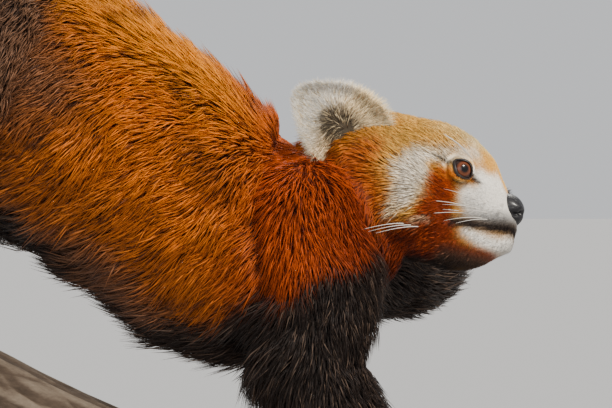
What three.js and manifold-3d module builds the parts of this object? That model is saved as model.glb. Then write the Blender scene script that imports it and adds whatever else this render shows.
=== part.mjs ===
// A life-size red panda climbing head first down a slanting branch, with its left forepaw
// reaching out. Millimetres: +X is the way it faces, +Y its left and +Z up. The origin is
// the middle of the display base's underside.
import * as THREE from "three";
import { ConvexGeometry } from "three/addons/geometries/ConvexGeometry.js";
import { mergeVertices } from "three/addons/utils/BufferGeometryUtils.js";
import Module from "manifold-3d";

const wasm = await Module();
wasm.setup();

// Driving dimensions.
const GAP = 0.3; // between faces that meet
const HEAD_PITCH = 12; // degrees that the head looks down
const HEAD_TURN = 12; // degrees that it turns to the animal's right
const HEAD_ROLL = 8; // degrees that its right ear is raised
const SPINE_SLOPE = 37; // degrees that the back falls towards the head
const BRANCH_SLOPE = 25; // degrees that the branch falls towards the front
const BRANCH_RADIUS = 46;
const BRANCH_TAPER = 0.014; // growth of the radius per mm towards the front
const BASE = { length: 560, width: 250, height: 18, corner: 26 };
const ROD_RADIUS = 7;
const EYE_RADIUS = 8.5;
const COAT = 9; // depth of the long coat's locks over the body under them

const LEFT = new THREE.Vector3(0, 1, 0);
const degrees = THREE.MathUtils.degToRad;
const point = (x, y, z) => new THREE.Vector3(x, y, z);

// Colours of the coat and of what is bare.
const finish = (color, roughness, metalness = 0) =>
  new THREE.MeshStandardMaterial({ color, roughness, metalness });
const RUST = finish(0xa8501c, 0.9);
const DARK_BROWN = finish(0x2b1c17, 0.9);
const CREAM = finish(0xe8d2ac, 0.9);
const TAIL_RUST = finish(0x9a5527, 0.9);
const NOSE_BLACK = finish(0x15110f, 0.35);
const EYE_BROWN = finish(0x2a1207, 0.08);
const BARK = finish(0x6d5a44, 0.95);
const BASE_WOOD = finish(0x3a2a20, 0.5);
const ROD_STEEL = finish(0x8d9094, 0.3, 1);

// A closed solid from a geometry with faces that point out.
function solid(geometry) {
  const bare = geometry.clone();
  bare.deleteAttribute("normal");
  bare.deleteAttribute("uv");
  const merged = mergeVertices(bare, 1e-3);
  return new wasm.Manifold(
    new wasm.Mesh({
      numProp: 3,
      vertProperties: new Float32Array(merged.attributes.position.array),
      triVerts: new Uint32Array(merged.index.array),
    }),
  );
}

const join = (solids) => solids.reduce((whole, s) => whole.add(s));
const largest = (s) =>
  s.decompose().reduce((best, piece) => (piece.volume() > best.volume() ? piece : best));

// The frame of a body at `t`, from 0 at its first station to 1 at its last. Stations are
// { at, wide, deep }: half width along `side` and half depth at right angles to it. Centres
// and sizes follow Catmull-Rom curves.
function bodyFrame(stations, side = LEFT) {
  const path = new THREE.CatmullRomCurve3(stations.map((s) => s.at));
  const sizes = new THREE.CatmullRomCurve3(stations.map((s) => point(s.wide, s.deep, 0)));
  return (t) => {
    const forward = path.getTangent(t);
    const across = side.clone().addScaledVector(forward, -side.dot(forward)).normalize();
    const { x: wide, y: deep } = sizes.getPoint(t);
    return { centre: path.getPoint(t), forward, across, up: forward.clone().cross(across), wide, deep };
  };
}

// A closed tube along such a body, `steps` rings to a station, closed at either end by a
// rounded dome of its own length or, with none, flat. `grow` thickens it all round.
function loft(stations, { steps = 2, sides = 14, side = LEFT, domes = [0, 0], grow = 0 } = {}) {
  const frameAt = bodyFrame(stations, side);
  const last = (stations.length - 1) * steps;
  const rings = [];
  const ring = (t, ahead, share) => {
    const { centre, forward, across, up, wide, deep } = frameAt(t);
    for (let i = 0; i < sides; i++) {
      const turn = (2 * Math.PI * i) / sides;
      rings.push(
        centre
          .clone()
          .addScaledVector(forward, ahead)
          .addScaledVector(across, (wide + grow) * share * Math.cos(turn))
          .addScaledVector(up, (deep + grow) * share * Math.sin(turn)),
      );
    }
  };
  const tipAt = (t, ahead) => frameAt(t).centre.addScaledVector(frameAt(t).forward, ahead);
  const [start, end] = domes;
  if (start) ring(0, -grow - start * Math.SQRT1_2, Math.SQRT1_2);
  for (let k = 0; k <= last; k++) ring(k / last, k ? (k < last ? 0 : grow) : -grow, 1);
  if (end) ring(1, grow + end * Math.SQRT1_2, Math.SQRT1_2);

  const count = rings.length / sides;
  const [first, final] = [rings.length, rings.length + 1];
  rings.push(tipAt(0, -start - grow), tipAt(1, end + grow));
  const faces = [];
  for (let i = 0; i < sides; i++) {
    const next = (i + 1) % sides;
    for (let k = 0; k + 1 < count; k++) {
      const [p, q] = [k * sides + i, k * sides + next];
      faces.push(p, q, q + sides, p, q + sides, p + sides);
    }
    const top = (count - 1) * sides;
    faces.push(first, next, i, final, top + i, top + next);
  }
  return solidOf(rings, faces);
}
function solidOf(points, faces) {
  const geometry = new THREE.BufferGeometry();
  const places = points.flatMap((p) => p.toArray());
  geometry.setAttribute("position", new THREE.Float32BufferAttribute(places, 3));
  geometry.setIndex(faces);
  return solid(geometry);
}

// Round cones from joint to joint, each the skin drawn tight over two balls.
function limbSolid(joints, grow = 0) {
  const ballAt = ({ at, r }) => {
    const ball = new THREE.SphereGeometry(r + grow, 8, 6);
    ball.translate(...at.toArray());
    const { position } = ball.attributes;
    const spotAt = (_, i) => point(0, 0, 0).fromBufferAttribute(position, i);
    return Array.from({ length: position.count }, spotAt);
  };
  const links = joints.slice(1).map((joint, k) => [...ballAt(joints[k]), ...ballAt(joint)]);
  return join(links.map((points) => solid(new ConvexGeometry(points))));
}

// A ball stretched to half sizes along a turned set of axes.
function ellipsoid(centre, half, axes = new THREE.Matrix4(), [around, down] = [12, 8]) {
  const ball = new THREE.SphereGeometry(1, around, down);
  ball.scale(...half);
  ball.applyMatrix4(axes);
  ball.translate(...centre.toArray());
  return solid(ball);
}

// A thin round plate, square to `normal`, that parts two nodes.
function plate(at, normal, radius) {
  const disc = new THREE.CylinderGeometry(radius, radius, GAP, 24);
  const turn = new THREE.Quaternion().setFromUnitVectors(point(0, 1, 0), normal.clone().normalize());
  disc.applyQuaternion(turn);
  disc.translate(...at.toArray());
  return solid(disc);
}

// A lock of hair: a flat three-sided blade, ridged on its outer side and tapered to its tip.
// It rises from a root sunk under the surface by `lift` degrees and bends back along `lie`.
const LOCK = { sink: 7, ridge: 0.15, places: [0, 0.42, 0.78], widths: [0.72, 1, 0.62] };
function lock({ at, out, lie }, { length, width, lift, bend = lift * 1.3 }) {
  const across = out.clone().cross(lie).normalize();
  const points = [];
  const centre = at.clone().addScaledVector(out, -LOCK.sink);
  const stretch = length + LOCK.sink;
  let place = 0;
  const go = (next) => {
    const turn = degrees(lift - bend * ((place + next) / 2));
    centre.addScaledVector(lie, (next - place) * stretch * Math.cos(turn));
    centre.addScaledVector(out, (next - place) * stretch * Math.sin(turn));
    place = next;
  };
  LOCK.places.forEach((next, k) => {
    go(next);
    const half = (width * LOCK.widths[k]) / 2;
    const ridge = width * LOCK.widths[k] * LOCK.ridge;
    points.push(
      centre.clone().addScaledVector(across, -half),
      centre.clone().addScaledVector(across, half),
      centre.clone().addScaledVector(out, ridge),
    );
  });
  go(1);
  points.push(centre.clone());
  const faces = [0, 2, 1];
  for (let k = 0; k + 1 < LOCK.places.length; k++) {
    for (let i = 0; i < 3; i++) {
      const [p, q] = [k * 3 + i, k * 3 + ((i + 1) % 3)];
      faces.push(p, q, q + 3, p, q + 3, p + 3);
    }
  }
  const [tip, top] = [points.length - 1, points.length - 4];
  for (let i = 0; i < 3; i++) faces.push(top + i, top + ((i + 1) % 3), tip);
  return solidOf(points, faces);
}

// A repeatable draw between -1 and 1.
let seed = 20;
function vary() {
  seed = (Math.imul(seed, 1664525) + 1013904223) >>> 0;
  return seed / 2 ** 31 - 1;
}

// Where hair is rooted on a body: the point at `t` along it and `turn` round it, the way out
// of it and the way the hair lies, which sags towards the ground by `hang`.
const DOWN = new THREE.Vector3(0, 0, -1);
function rootOn(frameAt, t, turn, grow, hang) {
  const { centre, forward, across, up, wide, deep } = frameAt(t);
  const [c, s] = [Math.cos(turn), Math.sin(turn)];
  const at = centre
    .clone()
    .addScaledVector(across, (wide + grow) * c)
    .addScaledVector(up, (deep + grow) * s);
  const out = across.clone().multiplyScalar(c / wide).addScaledVector(up, s / deep).normalize();
  const lie = forward.clone().addScaledVector(DOWN, hang);
  lie.addScaledVector(out, -lie.dot(out)).normalize();
  return { at, out, lie };
}

// Staggered rows of locks over a body, from `from` to `to` along it and, with `turns`, only
// between two angles round it.
function coat(frameAt, spread) {
  const { rows, from, to, around, turns = [0, 360], hang = 0.3, grow = -COAT, ...size } = spread;
  const locks = [];
  for (let row = 0; row < rows; row++) {
    for (let i = 0; i < around; i++) {
      const t = from + ((to - from) * (row + 0.25 * vary())) / Math.max(rows - 1, 1);
      const share = (i + 0.5 * (row % 2) + 0.25 + 0.15 * vary()) / around;
      const turn = degrees(turns[0] + (turns[1] - turns[0]) * share);
      const longer = 1 + 0.15 * vary();
      const root = rootOn(frameAt, Math.min(Math.max(t, 0), 1), turn, grow, hang);
      locks.push(lock(root, { ...size, length: size.length * longer }));
    }
  }
  return locks;
}

// The branch: straight, thinner towards the top, with two low swellings.
const slope = degrees(BRANCH_SLOPE);
const branch = {
  along: point(Math.cos(slope), 0, -Math.sin(slope)),
  out: point(Math.sin(slope), 0, Math.cos(slope)),
  top: point(225, 0, 169), // where the right forepaw stands
  front: 290,
  back: -255,
  swellings: [
    { x: -60, size: 2.5, spread: 30 },
    { x: 120, size: 3, spread: 24 },
  ],
};
const branchRadius = (x) =>
  BRANCH_RADIUS +
  BRANCH_TAPER * (x - branch.top.x) +
  branch.swellings.reduce((sum, s) => sum + s.size * Math.exp(-(((x - s.x) / s.spread) ** 2)), 0);
const branchAxis = (x) =>
  branch.top
    .clone()
    .addScaledVector(branch.out, -branchRadius(branch.top.x))
    .addScaledVector(branch.along, (x - branch.top.x) / branch.along.x);
// A point on the bark, `around` degrees from the top towards the animal's left.
function onBranch(x, around, height = 0) {
  const reach = branchRadius(x) + height;
  return branchAxis(x)
    .addScaledVector(branch.out, reach * Math.cos(degrees(around)))
    .addScaledVector(LEFT, reach * Math.sin(degrees(around)));
}
function branchSolid(grow = 0) {
  const stations = [];
  const count = 9;
  for (let k = 0; k < count; k++) {
    const x = branch.back + ((branch.front - branch.back) * k) / (count - 1);
    const r = branchRadius(x);
    stations.push({ at: branchAxis(x), wide: r, deep: r });
  }
  return loft(stations, { steps: 1, sides: 20, grow });
}

// Torso: stations along the spine, from the breast back to the rump. `back` is measured
// along the sloping back and `lift` at right angles to it, from the middle of the chest.
const spineTurn = degrees(SPINE_SLOPE);
const chest = point(98, 0, 367);
const alongSpine = (back, lift) =>
  chest
    .clone()
    .add(point(-back * Math.cos(spineTurn), 0, back * Math.sin(spineTurn)))
    .add(point(lift * Math.sin(spineTurn), 0, lift * Math.cos(spineTurn)));
const TORSO = [
  { back: -76, lift: 27, wide: 40, deep: 36 }, // breast
  { back: -44, lift: 12, wide: 62, deep: 62 },
  { back: 0, lift: 0, wide: 74, deep: 78 }, // chest
  { back: 57, lift: 6, wide: 82, deep: 86 },
  { back: 117, lift: 6, wide: 83, deep: 86 }, // waist
  { back: 166, lift: 8, wide: 80, deep: 83 },
  { back: 236, lift: 10, wide: 74, deep: 78 }, // hips
  { back: 279, lift: 5, wide: 56, deep: 58 },
  { back: 299, lift: -2, wide: 33, deep: 33 }, // rump
].map((s) => ({ ...s, at: alongSpine(s.back, s.lift) }));
const TORSO_ROWS = { rows: 5, from: 0.18, to: 0.84, around: 6 };
const TORSO_LOCK = { length: 80, width: 68, lift: 12 };
const torso = () => [
  loft(TORSO, { steps: 1, sides: 12, domes: [14, 8], grow: -COAT }),
  ...coat(bodyFrame(TORSO), { ...TORSO_ROWS, ...TORSO_LOCK }),
];

// Neck: from inside the head back into the shoulders.
const NECK = [
  { at: point(212, -2, 398), wide: 46, deep: 46 },
  { at: point(185, 0, 390), wide: 53, deep: 53 },
  { at: point(140, 0, 380), wide: 60, deep: 60 },
  { at: point(90, 0, 390), wide: 64, deep: 60 },
];
const NECK_ROWS = { rows: 2, from: 0.45, to: 0.86, around: 5 };
const NECK_LOCK = { length: 52, width: 56, lift: 14 };
const neck = () => [
  loft(NECK, { steps: 1, sides: 12, domes: [10, 10], grow: -COAT }),
  ...coat(bodyFrame(NECK), { ...NECK_ROWS, ...NECK_LOCK }),
];

// Head: in its own frame, `a` forward along the skull, `b` to the left and `c` up.
const headCentre = point(225, 0, 400);
const headAxes = new THREE.Matrix4().makeRotationFromEuler(
  new THREE.Euler(-degrees(HEAD_ROLL), degrees(HEAD_PITCH), -degrees(HEAD_TURN), "ZYX"),
);
const inHead = (a, b, c) => point(a, b, c).applyMatrix4(headAxes).add(headCentre);
const headWay = (a, b, c) => point(a, b, c).applyMatrix4(headAxes).normalize();
const headLoft = (stations, options) =>
  loft(
    stations.map(([a, c, deep, wide]) => ({ at: inHead(a, 0, c), wide, deep })),
    { side: headWay(0, 1, 0), ...options },
  );
// Each station is its place forward, its height, its half height and its half width.
const CRANIUM = [
  [-66, 6, 34, 38],
  [-45, 10, 42, 48],
  [-18, 12, 42, 51],
  [8, 12, 42, 46],
  [28, 13, 37, 35],
  [38, 14, 30, 27],
];
const MUZZLE = [
  [30, 12, 32, 28],
  [44, 9.5, 28, 25],
  [52, 5.5, 21.5, 21.5],
  [58, 2.5, 16, 17],
  [62, 0, 10, 11],
];
const JAW = [
  [-30, -14, 28, 36],
  [0, -14, 30, 36],
  [32, -17, 29, 27],
  [50, -18, 23, 21],
  [60, -17, 14, 15],
];
const CHEEK = { a: -8, b: 27, c: -8, half: [36, 25, 31] };
const EYE = { a: 28, b: 28, c: 19.5, facing: [0.62, 0.76, 0.12] };
const NOSE = { a: 65, c: 4.5, half: [8, 10, 9.5] };
const MOUTH = { height: -11, thickness: 1.6, a: 26, inner: [37, 20], outer: [60, 40] };
const EAR = {
  root: [-38, 36, 24],
  way: [-0.72, 0.6, 0.35],
  facing: [0.35, 0.86, -0.37],
  seat: 20, // from its root to its middle
  length: 30,
  width: 22,
  thickness: 9,
  cup: { reach: 7, share: 0.78 },
};

// The three axes of something that points along `way` and opens towards `facing`.
function axesOf(way, facing) {
  const w = way.clone().normalize();
  const f = facing.clone().addScaledVector(w, -facing.dot(w)).normalize();
  return new THREE.Matrix4().makeBasis(w, f.clone().cross(w), f);
}

// The line of the mouth: a flat U of a plate that opens a narrow groove in the lips.
function mouthGroove() {
  const shape = new THREE.Shape();
  const reach = degrees(84);
  shape.absellipse(0, 0, ...MOUTH.outer, -reach, reach, false);
  shape.absellipse(0, 0, ...MOUTH.inner, reach, -reach, true);
  const groove = new THREE.ExtrudeGeometry(shape, {
    depth: MOUTH.thickness,
    bevelEnabled: false,
    curveSegments: 8,
  });
  groove.translate(MOUTH.a, 0, MOUTH.height - MOUTH.thickness / 2);
  groove.applyMatrix4(headAxes);
  groove.translate(...headCentre.toArray());
  return solid(groove);
}

// Lids: a low oval ring round the open eye.
function lids(side) {
  const ring = new THREE.TorusGeometry(7.6, 1.8, 4, 10);
  ring.scale(1.12, 0.9, 1);
  ring.applyMatrix4(
    axesOf(headWay(1, side * -0.7, -0.3), headWay(EYE.facing[0], side * EYE.facing[1], EYE.facing[2])),
  );
  const [fa, fb, fc] = EYE.facing;
  const out = 4.2;
  ring.translate(...inHead(EYE.a + fa * out, side * (EYE.b + fb * out), EYE.c + fc * out).toArray());
  return solid(ring);
}

const eyeBall = (side, grow = 0) =>
  ellipsoid(
    inHead(EYE.a, side * EYE.b, EYE.c),
    [EYE_RADIUS + grow, EYE_RADIUS + grow, EYE_RADIUS + grow],
    headAxes,
    [12, 8],
  );

// Nose leather, with two nostrils sunk in its front.
function noseLeather(grow = 0) {
  return ellipsoid(
    inHead(NOSE.a, 0, NOSE.c),
    NOSE.half.map((h) => h + grow),
    headAxes,
    [12, 8],
  );
}
const nostril = (side) =>
  ellipsoid(inHead(NOSE.a + 6.4, side * 4.2, NOSE.c - 1), [3, 1.9, 2.4], headAxes, [6, 5]);

// An ear: a leaf-shaped shell hollowed towards the side that it opens to.
function ear(side, grow = 0) {
  const way = headWay(EAR.way[0], side * EAR.way[1], EAR.way[2]);
  const facing = headWay(EAR.facing[0], side * EAR.facing[1], EAR.facing[2]);
  const axes = axesOf(way, facing);
  const [a, b, c] = EAR.root;
  const centre = inHead(a, side * b, c).addScaledVector(way, EAR.seat);
  const half = [EAR.length, EAR.width, EAR.thickness];
  const shell = ellipsoid(centre, half.map((h) => h + grow), axes, [12, 7]);
  if (grow) return shell;
  const hollow = ellipsoid(
    centre.clone().addScaledVector(axesFacing(axes), EAR.cup.reach),
    half.map((h) => h * EAR.cup.share),
    axes,
    [10, 6],
  );
  return shell.subtract(hollow);
}
const axesFacing = (axes) => point(0, 0, 1).applyMatrix4(axes);

// Cheek ruff: rows of locks that fan out from the side of the face, back and down. Each row
// has its roots' place forward, its height, and how far out the face is there.
const RUFF = [
  { a: 0, b: 46, rows: [10, -22] },
  { a: -24, b: 50, rows: [20, -4, -34] },
];
function ruff(side) {
  const locks = [];
  for (const { a, b, rows } of RUFF) {
    for (const c of rows) {
      const drop = c / 60;
      const out = headWay(0.1, side * 0.85, drop);
      const lie = headWay(-0.85, side * 0.25, drop * 0.9 - 0.25);
      lie.addScaledVector(out, -lie.dot(out)).normalize();
      const near = Math.sqrt(1 - Math.min((c / 52) ** 2, 0.9));
      locks.push(lock({ at: inHead(a, side * b * near, c), out, lie }, RUFF_LOCK));
    }
  }
  return locks;
}
const RUFF_LOCK = { length: 42, width: 36, lift: 26 };

// Ear fringe: hair that stands off the front and lower edges of the ear.
const FRINGE = { count: 7, first: -120, step: 38, share: 0.56, raised: 3, lean: 0.9 };
const FRINGE_LOCK = { length: 15, width: 20, lift: 4, bend: 0 };
function earFringe(side) {
  const way = headWay(EAR.way[0], side * EAR.way[1], EAR.way[2]);
  const axes = axesOf(way, headWay(EAR.facing[0], side * EAR.facing[1], EAR.facing[2]));
  const [a, b, c] = EAR.root;
  const centre = inHead(a, side * b, c).addScaledVector(way, EAR.seat);
  const out = axesFacing(axes);
  const locks = [];
  for (let k = 0; k < FRINGE.count; k++) {
    const turn = degrees(FRINGE.first + FRINGE.step * k);
    const spoke = point(Math.cos(turn), Math.sin(turn), 0);
    const edge = point(EAR.length, EAR.width, 0).multiplyScalar(FRINGE.share);
    const at = spoke.clone().multiply(edge).applyMatrix4(axes).add(centre);
    const lie = spoke.clone().add(point(FRINGE.lean, 0, 0)).normalize().applyMatrix4(axes);
    locks.push(lock({ at: at.addScaledVector(out, FRINGE.raised), out, lie }, FRINGE_LOCK));
  }
  return locks;
}

function head() {
  const cheek = (side) =>
    ellipsoid(inHead(CHEEK.a, side * CHEEK.b, CHEEK.c), CHEEK.half, headAxes, [8, 6]);
  return join([
    headLoft(CRANIUM, { steps: 1, sides: 16, domes: [8, 6] }),
    headLoft(MUZZLE, { steps: 1, sides: 14, domes: [0, 4] }),
    headLoft(JAW, { steps: 1, sides: 14, domes: [0, 5] }),
    cheek(1),
    cheek(-1),
    lids(1),
    lids(-1),
    ...ruff(1),
    ...ruff(-1),
  ]).subtract(mouthGroove());
}

// Limbs: joints from shoulder or hip to wrist or ankle, each with the radius of its coat,
// and the rows of locks on it. `fringe` is the longer hair on the leg's rear edge.
const LIMBS = {
  foreleg_right: {
    joints: [
      { at: point(148, -34, 388), r: 44 },
      { at: point(160, -42, 345), r: 44 },
      { at: point(154, -44, 292), r: 42 },
      { at: point(182, -36, 240), r: 34 },
      { at: point(206, -28, 204), r: 25 },
    ],
    paw: { x: 218, around: -27 },
  },
  foreleg_left: {
    joints: [
      { at: point(148, 34, 388), r: 44 },
      { at: point(174, 60, 360), r: 43 },
      { at: point(224, 100, 350), r: 36 },
      { at: point(244, 110, 374), r: 29 },
      { at: point(252, 128, 390), r: 23 },
    ],
    paw: { at: point(262, 152, 396), way: point(0.35, 0.9, 0.2), down: point(0.3, 0.1, -1) },
  },
  hindleg_right: {
    joints: [
      { at: point(-58, -30, 505), r: 58 },
      { at: point(-78, -42, 468), r: 56 },
      { at: point(-112, -50, 410), r: 44 },
      { at: point(-164, -42, 396), r: 34 },
      { at: point(-205, -31, 386), r: 27 },
    ],
    paw: { x: -178, around: -33 },
  },
  hindleg_left: {
    joints: [
      { at: point(-58, 30, 505), r: 58 },
      { at: point(-70, 42, 466), r: 56 },
      { at: point(-88, 54, 400), r: 44 },
      { at: point(-130, 44, 382), r: 34 },
      { at: point(-168, 32, 368), r: 27 },
    ],
    paw: { x: -140, around: 33 },
  },
};
const limbs = Object.values(LIMBS);
const sideOf = (limb) => Math.sign(limb.joints[0].at.y);
const LEG_ROWS = { rows: 2, from: 0.36, to: 0.62 };
const LEG_LOCK = { length: 66, width: 42, lift: 16 };
const REAR_ROWS = { ...LEG_ROWS, to: 0.6, around: 1, turns: [240, 300] };
const REAR_LOCK = { length: 70, width: 40, lift: 30 };
function limbCoat(limb) {
  const stations = limb.joints.map(({ at, r }) => ({ at, wide: r, deep: r }));
  const frameAt = bodyFrame(stations, LEFT);
  const outside = sideOf(limb) > 0 ? [-95, 65] : [115, 275];
  return [
    ...coat(frameAt, { ...LEG_ROWS, around: 2, turns: outside, ...LEG_LOCK }),
    ...coat(frameAt, { ...REAR_ROWS, ...REAR_LOCK }),
  ];
}

// A paw: a low pad under five rounded toes, each with a short hooked claw. It stands on the
// branch, or hangs in the air along `way` with its sole towards `down`.
const PAW = {
  length: 62,
  wide: 20,
  deep: 12,
  toes: 5,
  toeRadius: 5.2,
  toeSpread: 9.4, // from toe to toe
  room: [
    { ahead: -30, r: 21 },
    { ahead: 42, r: 34 },
  ], // balls that hold a whole paw
};
function pawFrame({ x, around, at, way, down }) {
  if (at) return { middle: at, way: way.clone().normalize(), up: down.clone().normalize().negate() };
  const out = onBranch(x, around, 1).sub(onBranch(x, around));
  return { middle: onBranch(x, around, PAW.deep - 2), way: branch.along.clone(), up: out };
}
function paw(spec) {
  const { middle, way, up } = pawFrame(spec);
  const across = up.clone().cross(way).normalize();
  const place = (ahead, sideways, height) =>
    middle
      .clone()
      .addScaledVector(way, ahead)
      .addScaledVector(across, sideways)
      .addScaledVector(up, height);
  const half = PAW.length / 2;
  const pad = loft(
    [
      { at: place(-half, 0, 3), wide: PAW.wide * 0.8, deep: PAW.deep },
      { at: place(-half * 0.2, 0, 2), wide: PAW.wide * 0.95, deep: PAW.deep * 1.05 },
      { at: place(half * 0.6, 0, -1), wide: PAW.wide * 1.05, deep: PAW.deep * 0.85 },
    ],
    { steps: 1, sides: 8, side: across, domes: [12, 8] },
  );
  const toes = [];
  for (let k = 0; k < PAW.toes; k++) {
    const step = k - (PAW.toes - 1) / 2;
    const turn = degrees(4 * step);
    const aim = way.clone().multiplyScalar(Math.cos(turn)).addScaledVector(across, Math.sin(turn));
    const start = place(half * 0.5 - step * step, PAW.toeSpread * step, -3);
    const reach = (d, drop) => start.clone().addScaledVector(aim, d).addScaledVector(up, -drop);
    const r = PAW.toeRadius;
    const toe = [
      { at: reach(0, 0), wide: r, deep: r },
      { at: reach(15, 1), wide: r, deep: r * 0.95 },
    ];
    const claw = [
      { at: reach(17, 0), wide: 2.1, deep: 2.6 },
      { at: reach(24, 1), wide: 1.7, deep: 2.2 },
      { at: reach(29, 5), wide: 0.7, deep: 0.9 },
    ];
    toes.push(loft(toe, { steps: 1, sides: 5, side: across, domes: [0, 6] }));
    toes.push(loft(claw, { steps: 1, sides: 3, side: across }));
  }
  return join([pad, ...toes]);
}

// Tail: out behind the rump, then hanging in a slow curve to its tip.
const TAIL = [
  { at: point(-128, 0, 541), wide: 30, deep: 30 },
  { at: point(-150, 0, 549), wide: 36, deep: 36 },
  { at: point(-200, 4, 563), wide: 42, deep: 42 },
  { at: point(-252, 10, 556), wide: 44, deep: 44 },
  { at: point(-300, 16, 524), wide: 45, deep: 45 },
  { at: point(-334, 20, 474), wide: 44, deep: 44 },
  { at: point(-348, 20, 414), wide: 42, deep: 42 },
  { at: point(-344, 16, 354), wide: 37, deep: 37 },
  { at: point(-330, 10, 306), wide: 25, deep: 25 },
];
const TAIL_ROWS = { rows: 6, from: 0.14, to: 0.94, around: 4, hang: 0 };
const TAIL_LOCK = { length: 76, width: 50, lift: 14 };
const tail = () => [
  loft(TAIL, { steps: 1, sides: 9, domes: [8, 8], grow: -COAT }),
  ...coat(bodyFrame(TAIL), { ...TAIL_ROWS, ...TAIL_LOCK }),
];

const LIMB_CLEAR = 1; // from the animal's middle to where a limb may begin

// A block that holds one side of the animal, `clear` away from its middle.
const HALF_BLOCK = 600;
function halfSpace(side, clear) {
  const block = new THREE.BoxGeometry(2 * HALF_BLOCK, HALF_BLOCK, 2 * HALF_BLOCK);
  block.translate(0, side * (HALF_BLOCK / 2 + clear), HALF_BLOCK);
  return solid(block);
}

// The whole animal in one piece, kept clear of the bark.
const animal = join([
  ...torso(),
  ...neck(),
  head(),
  ...[1, -1].flatMap((side) => [ear(side), ...earFringe(side)]),
  ...tail(),
  ...limbs.map((limb) =>
    join([limbSolid(limb.joints, -COAT), ...limbCoat(limb)]).intersect(
      halfSpace(sideOf(limb), LIMB_CLEAR),
    ),
  ),
  ...limbs.map((limb) => paw(limb.paw)),
])
  .subtract(branchSolid(GAP))
  .subtract(eyeBall(1, GAP))
  .subtract(eyeBall(-1, GAP))
  .subtract(noseLeather(GAP));

// Then parted with thin cuts. An ear, the head or a limb is what lies in a region drawn
// round it, taken in that order, and thin plates part the rest.
const EAR_MARGIN = 13;
const HEAD_REGION = [
  { a: -62, c: 8, r: 66 },
  { a: -5, c: 4, r: 66 },
  { a: 60, c: 0, r: 42 },
];
const LIMB_MARGIN = 6;
const CORE_SHARE = 0.62; // of the torso's and the neck's thickness, which no limb enters
const core = (stations, grow) =>
  loft(
    stations.map((s) => ({ ...s, wide: s.wide * CORE_SHARE, deep: s.deep * CORE_SHARE })),
    { steps: 1, sides: 8, grow },
  );
function headRegion(grow) {
  const front = new THREE.BoxGeometry(HALF_BLOCK, HALF_BLOCK, HALF_BLOCK);
  front.translate(HEAD_REGION[0].a - grow + HALF_BLOCK / 2, 0, 0);
  front.applyMatrix4(headAxes);
  front.translate(...headCentre.toArray());
  const balls = HEAD_REGION.map(({ a, c, r }) => ({ at: inHead(a, 0, c), r }));
  return limbSolid(balls, grow).intersect(solid(front));
}
const limbRegion = (limb, grow) =>
  limbSolid(limb.joints, LIMB_MARGIN + grow)
    .intersect(halfSpace(sideOf(limb), LIMB_CLEAR - grow))
    .subtract(core(TORSO, -grow))
    .subtract(core(NECK, -grow));
function pawRegion(spec, grow) {
  const { middle, way } = pawFrame(spec);
  const balls = PAW.room.map(({ ahead, r }) => ({ at: middle.clone().addScaledVector(way, ahead), r }));
  return limbSolid(balls, grow);
}

let rest = animal;
function take(region) {
  const taken = rest.intersect(region(0));
  rest = rest.subtract(region(GAP));
  return largest(taken);
}
function holding(at, among) {
  const probe = ellipsoid(at, [3, 3, 3]);
  return among.reduce((best, piece) =>
    piece.intersect(probe).volume() > best.intersect(probe).volume() ? piece : best,
  );
}
const seams = [
  plate(point(120, 0, 388), point(0.9, 0, -0.35), 110), // neck from torso
  plate(point(-147, 0, 548), point(-0.95, 0, 0.3), 88), // tail from torso
  plate(point(-276, 13, 542), point(-0.85, 0.1, -0.5), 82),
  plate(point(-347, 20, 430), point(-0.15, 0, -1), 82),
];

// The stand: a flat base and two rods up to the branch.
function base() {
  const { length, width, height, corner } = BASE;
  const [x, y] = [length / 2 - corner, width / 2 - corner];
  const outline = new THREE.Shape();
  outline.absarc(x, y, corner, 0, Math.PI / 2);
  outline.absarc(-x, y, corner, Math.PI / 2, Math.PI);
  outline.absarc(-x, -y, corner, Math.PI, 1.5 * Math.PI);
  outline.absarc(x, -y, corner, 1.5 * Math.PI, 2 * Math.PI);
  const raised = { depth: height, bevelEnabled: false, curveSegments: 6 };
  return solid(new THREE.ExtrudeGeometry(outline, raised));
}
function rod(x) {
  const bottom = BASE.height + GAP;
  const top = branchAxis(x).z;
  const bar = new THREE.CylinderGeometry(ROD_RADIUS, ROD_RADIUS, top - bottom, 20);
  bar.rotateX(Math.PI / 2);
  bar.translate(x, 0, (top + bottom) / 2);
  return largest(solid(bar).subtract(branchSolid(GAP)));
}

const redPanda = new THREE.Group();
function add(name, shape, material) {
  const { vertProperties, triVerts } = largest(shape).getMesh();
  const geometry = new THREE.BufferGeometry();
  geometry.setAttribute("position", new THREE.BufferAttribute(vertProperties, 3));
  geometry.setIndex(new THREE.BufferAttribute(triVerts, 1));
  const mesh = new THREE.Mesh(geometry, material);
  mesh.name = name;
  redPanda.add(mesh);
}

for (const [name, side] of Object.entries({ left: 1, right: -1 })) {
  add("ear_" + name, take((grow) => ear(side, EAR_MARGIN + grow)), CREAM);
  add("eye_" + name, eyeBall(side), EYE_BROWN);
}
add("head", take(headRegion), CREAM);
for (const [name, limb] of Object.entries(LIMBS)) {
  add(name.replace("leg", "paw"), take((grow) => pawRegion(limb.paw, grow)), DARK_BROWN);
  add(name, take((grow) => limbRegion(limb, grow)), DARK_BROWN);
}
const trunk = rest.subtract(join(seams)).decompose();
add("neck", holding(point(140, 0, 392), trunk), RUST);
add("torso", holding(point(30, 0, 430), trunk), RUST);
add("tail_base", holding(point(-200, 4, 563), trunk), TAIL_RUST);
add("tail_middle", holding(point(-320, 18, 500), trunk), TAIL_RUST);
add("tail_tip", holding(point(-344, 16, 354), trunk), TAIL_RUST);
add("nose", join([noseLeather()]).subtract(nostril(1)).subtract(nostril(-1)), NOSE_BLACK);
add("perch_branch", branchSolid(), BARK);
add("stand_base", base(), BASE_WOOD);
add("stand_rod_front", rod(170), ROD_STEEL);
add("stand_rod_back", rod(-170), ROD_STEEL);

export default redPanda;
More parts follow.
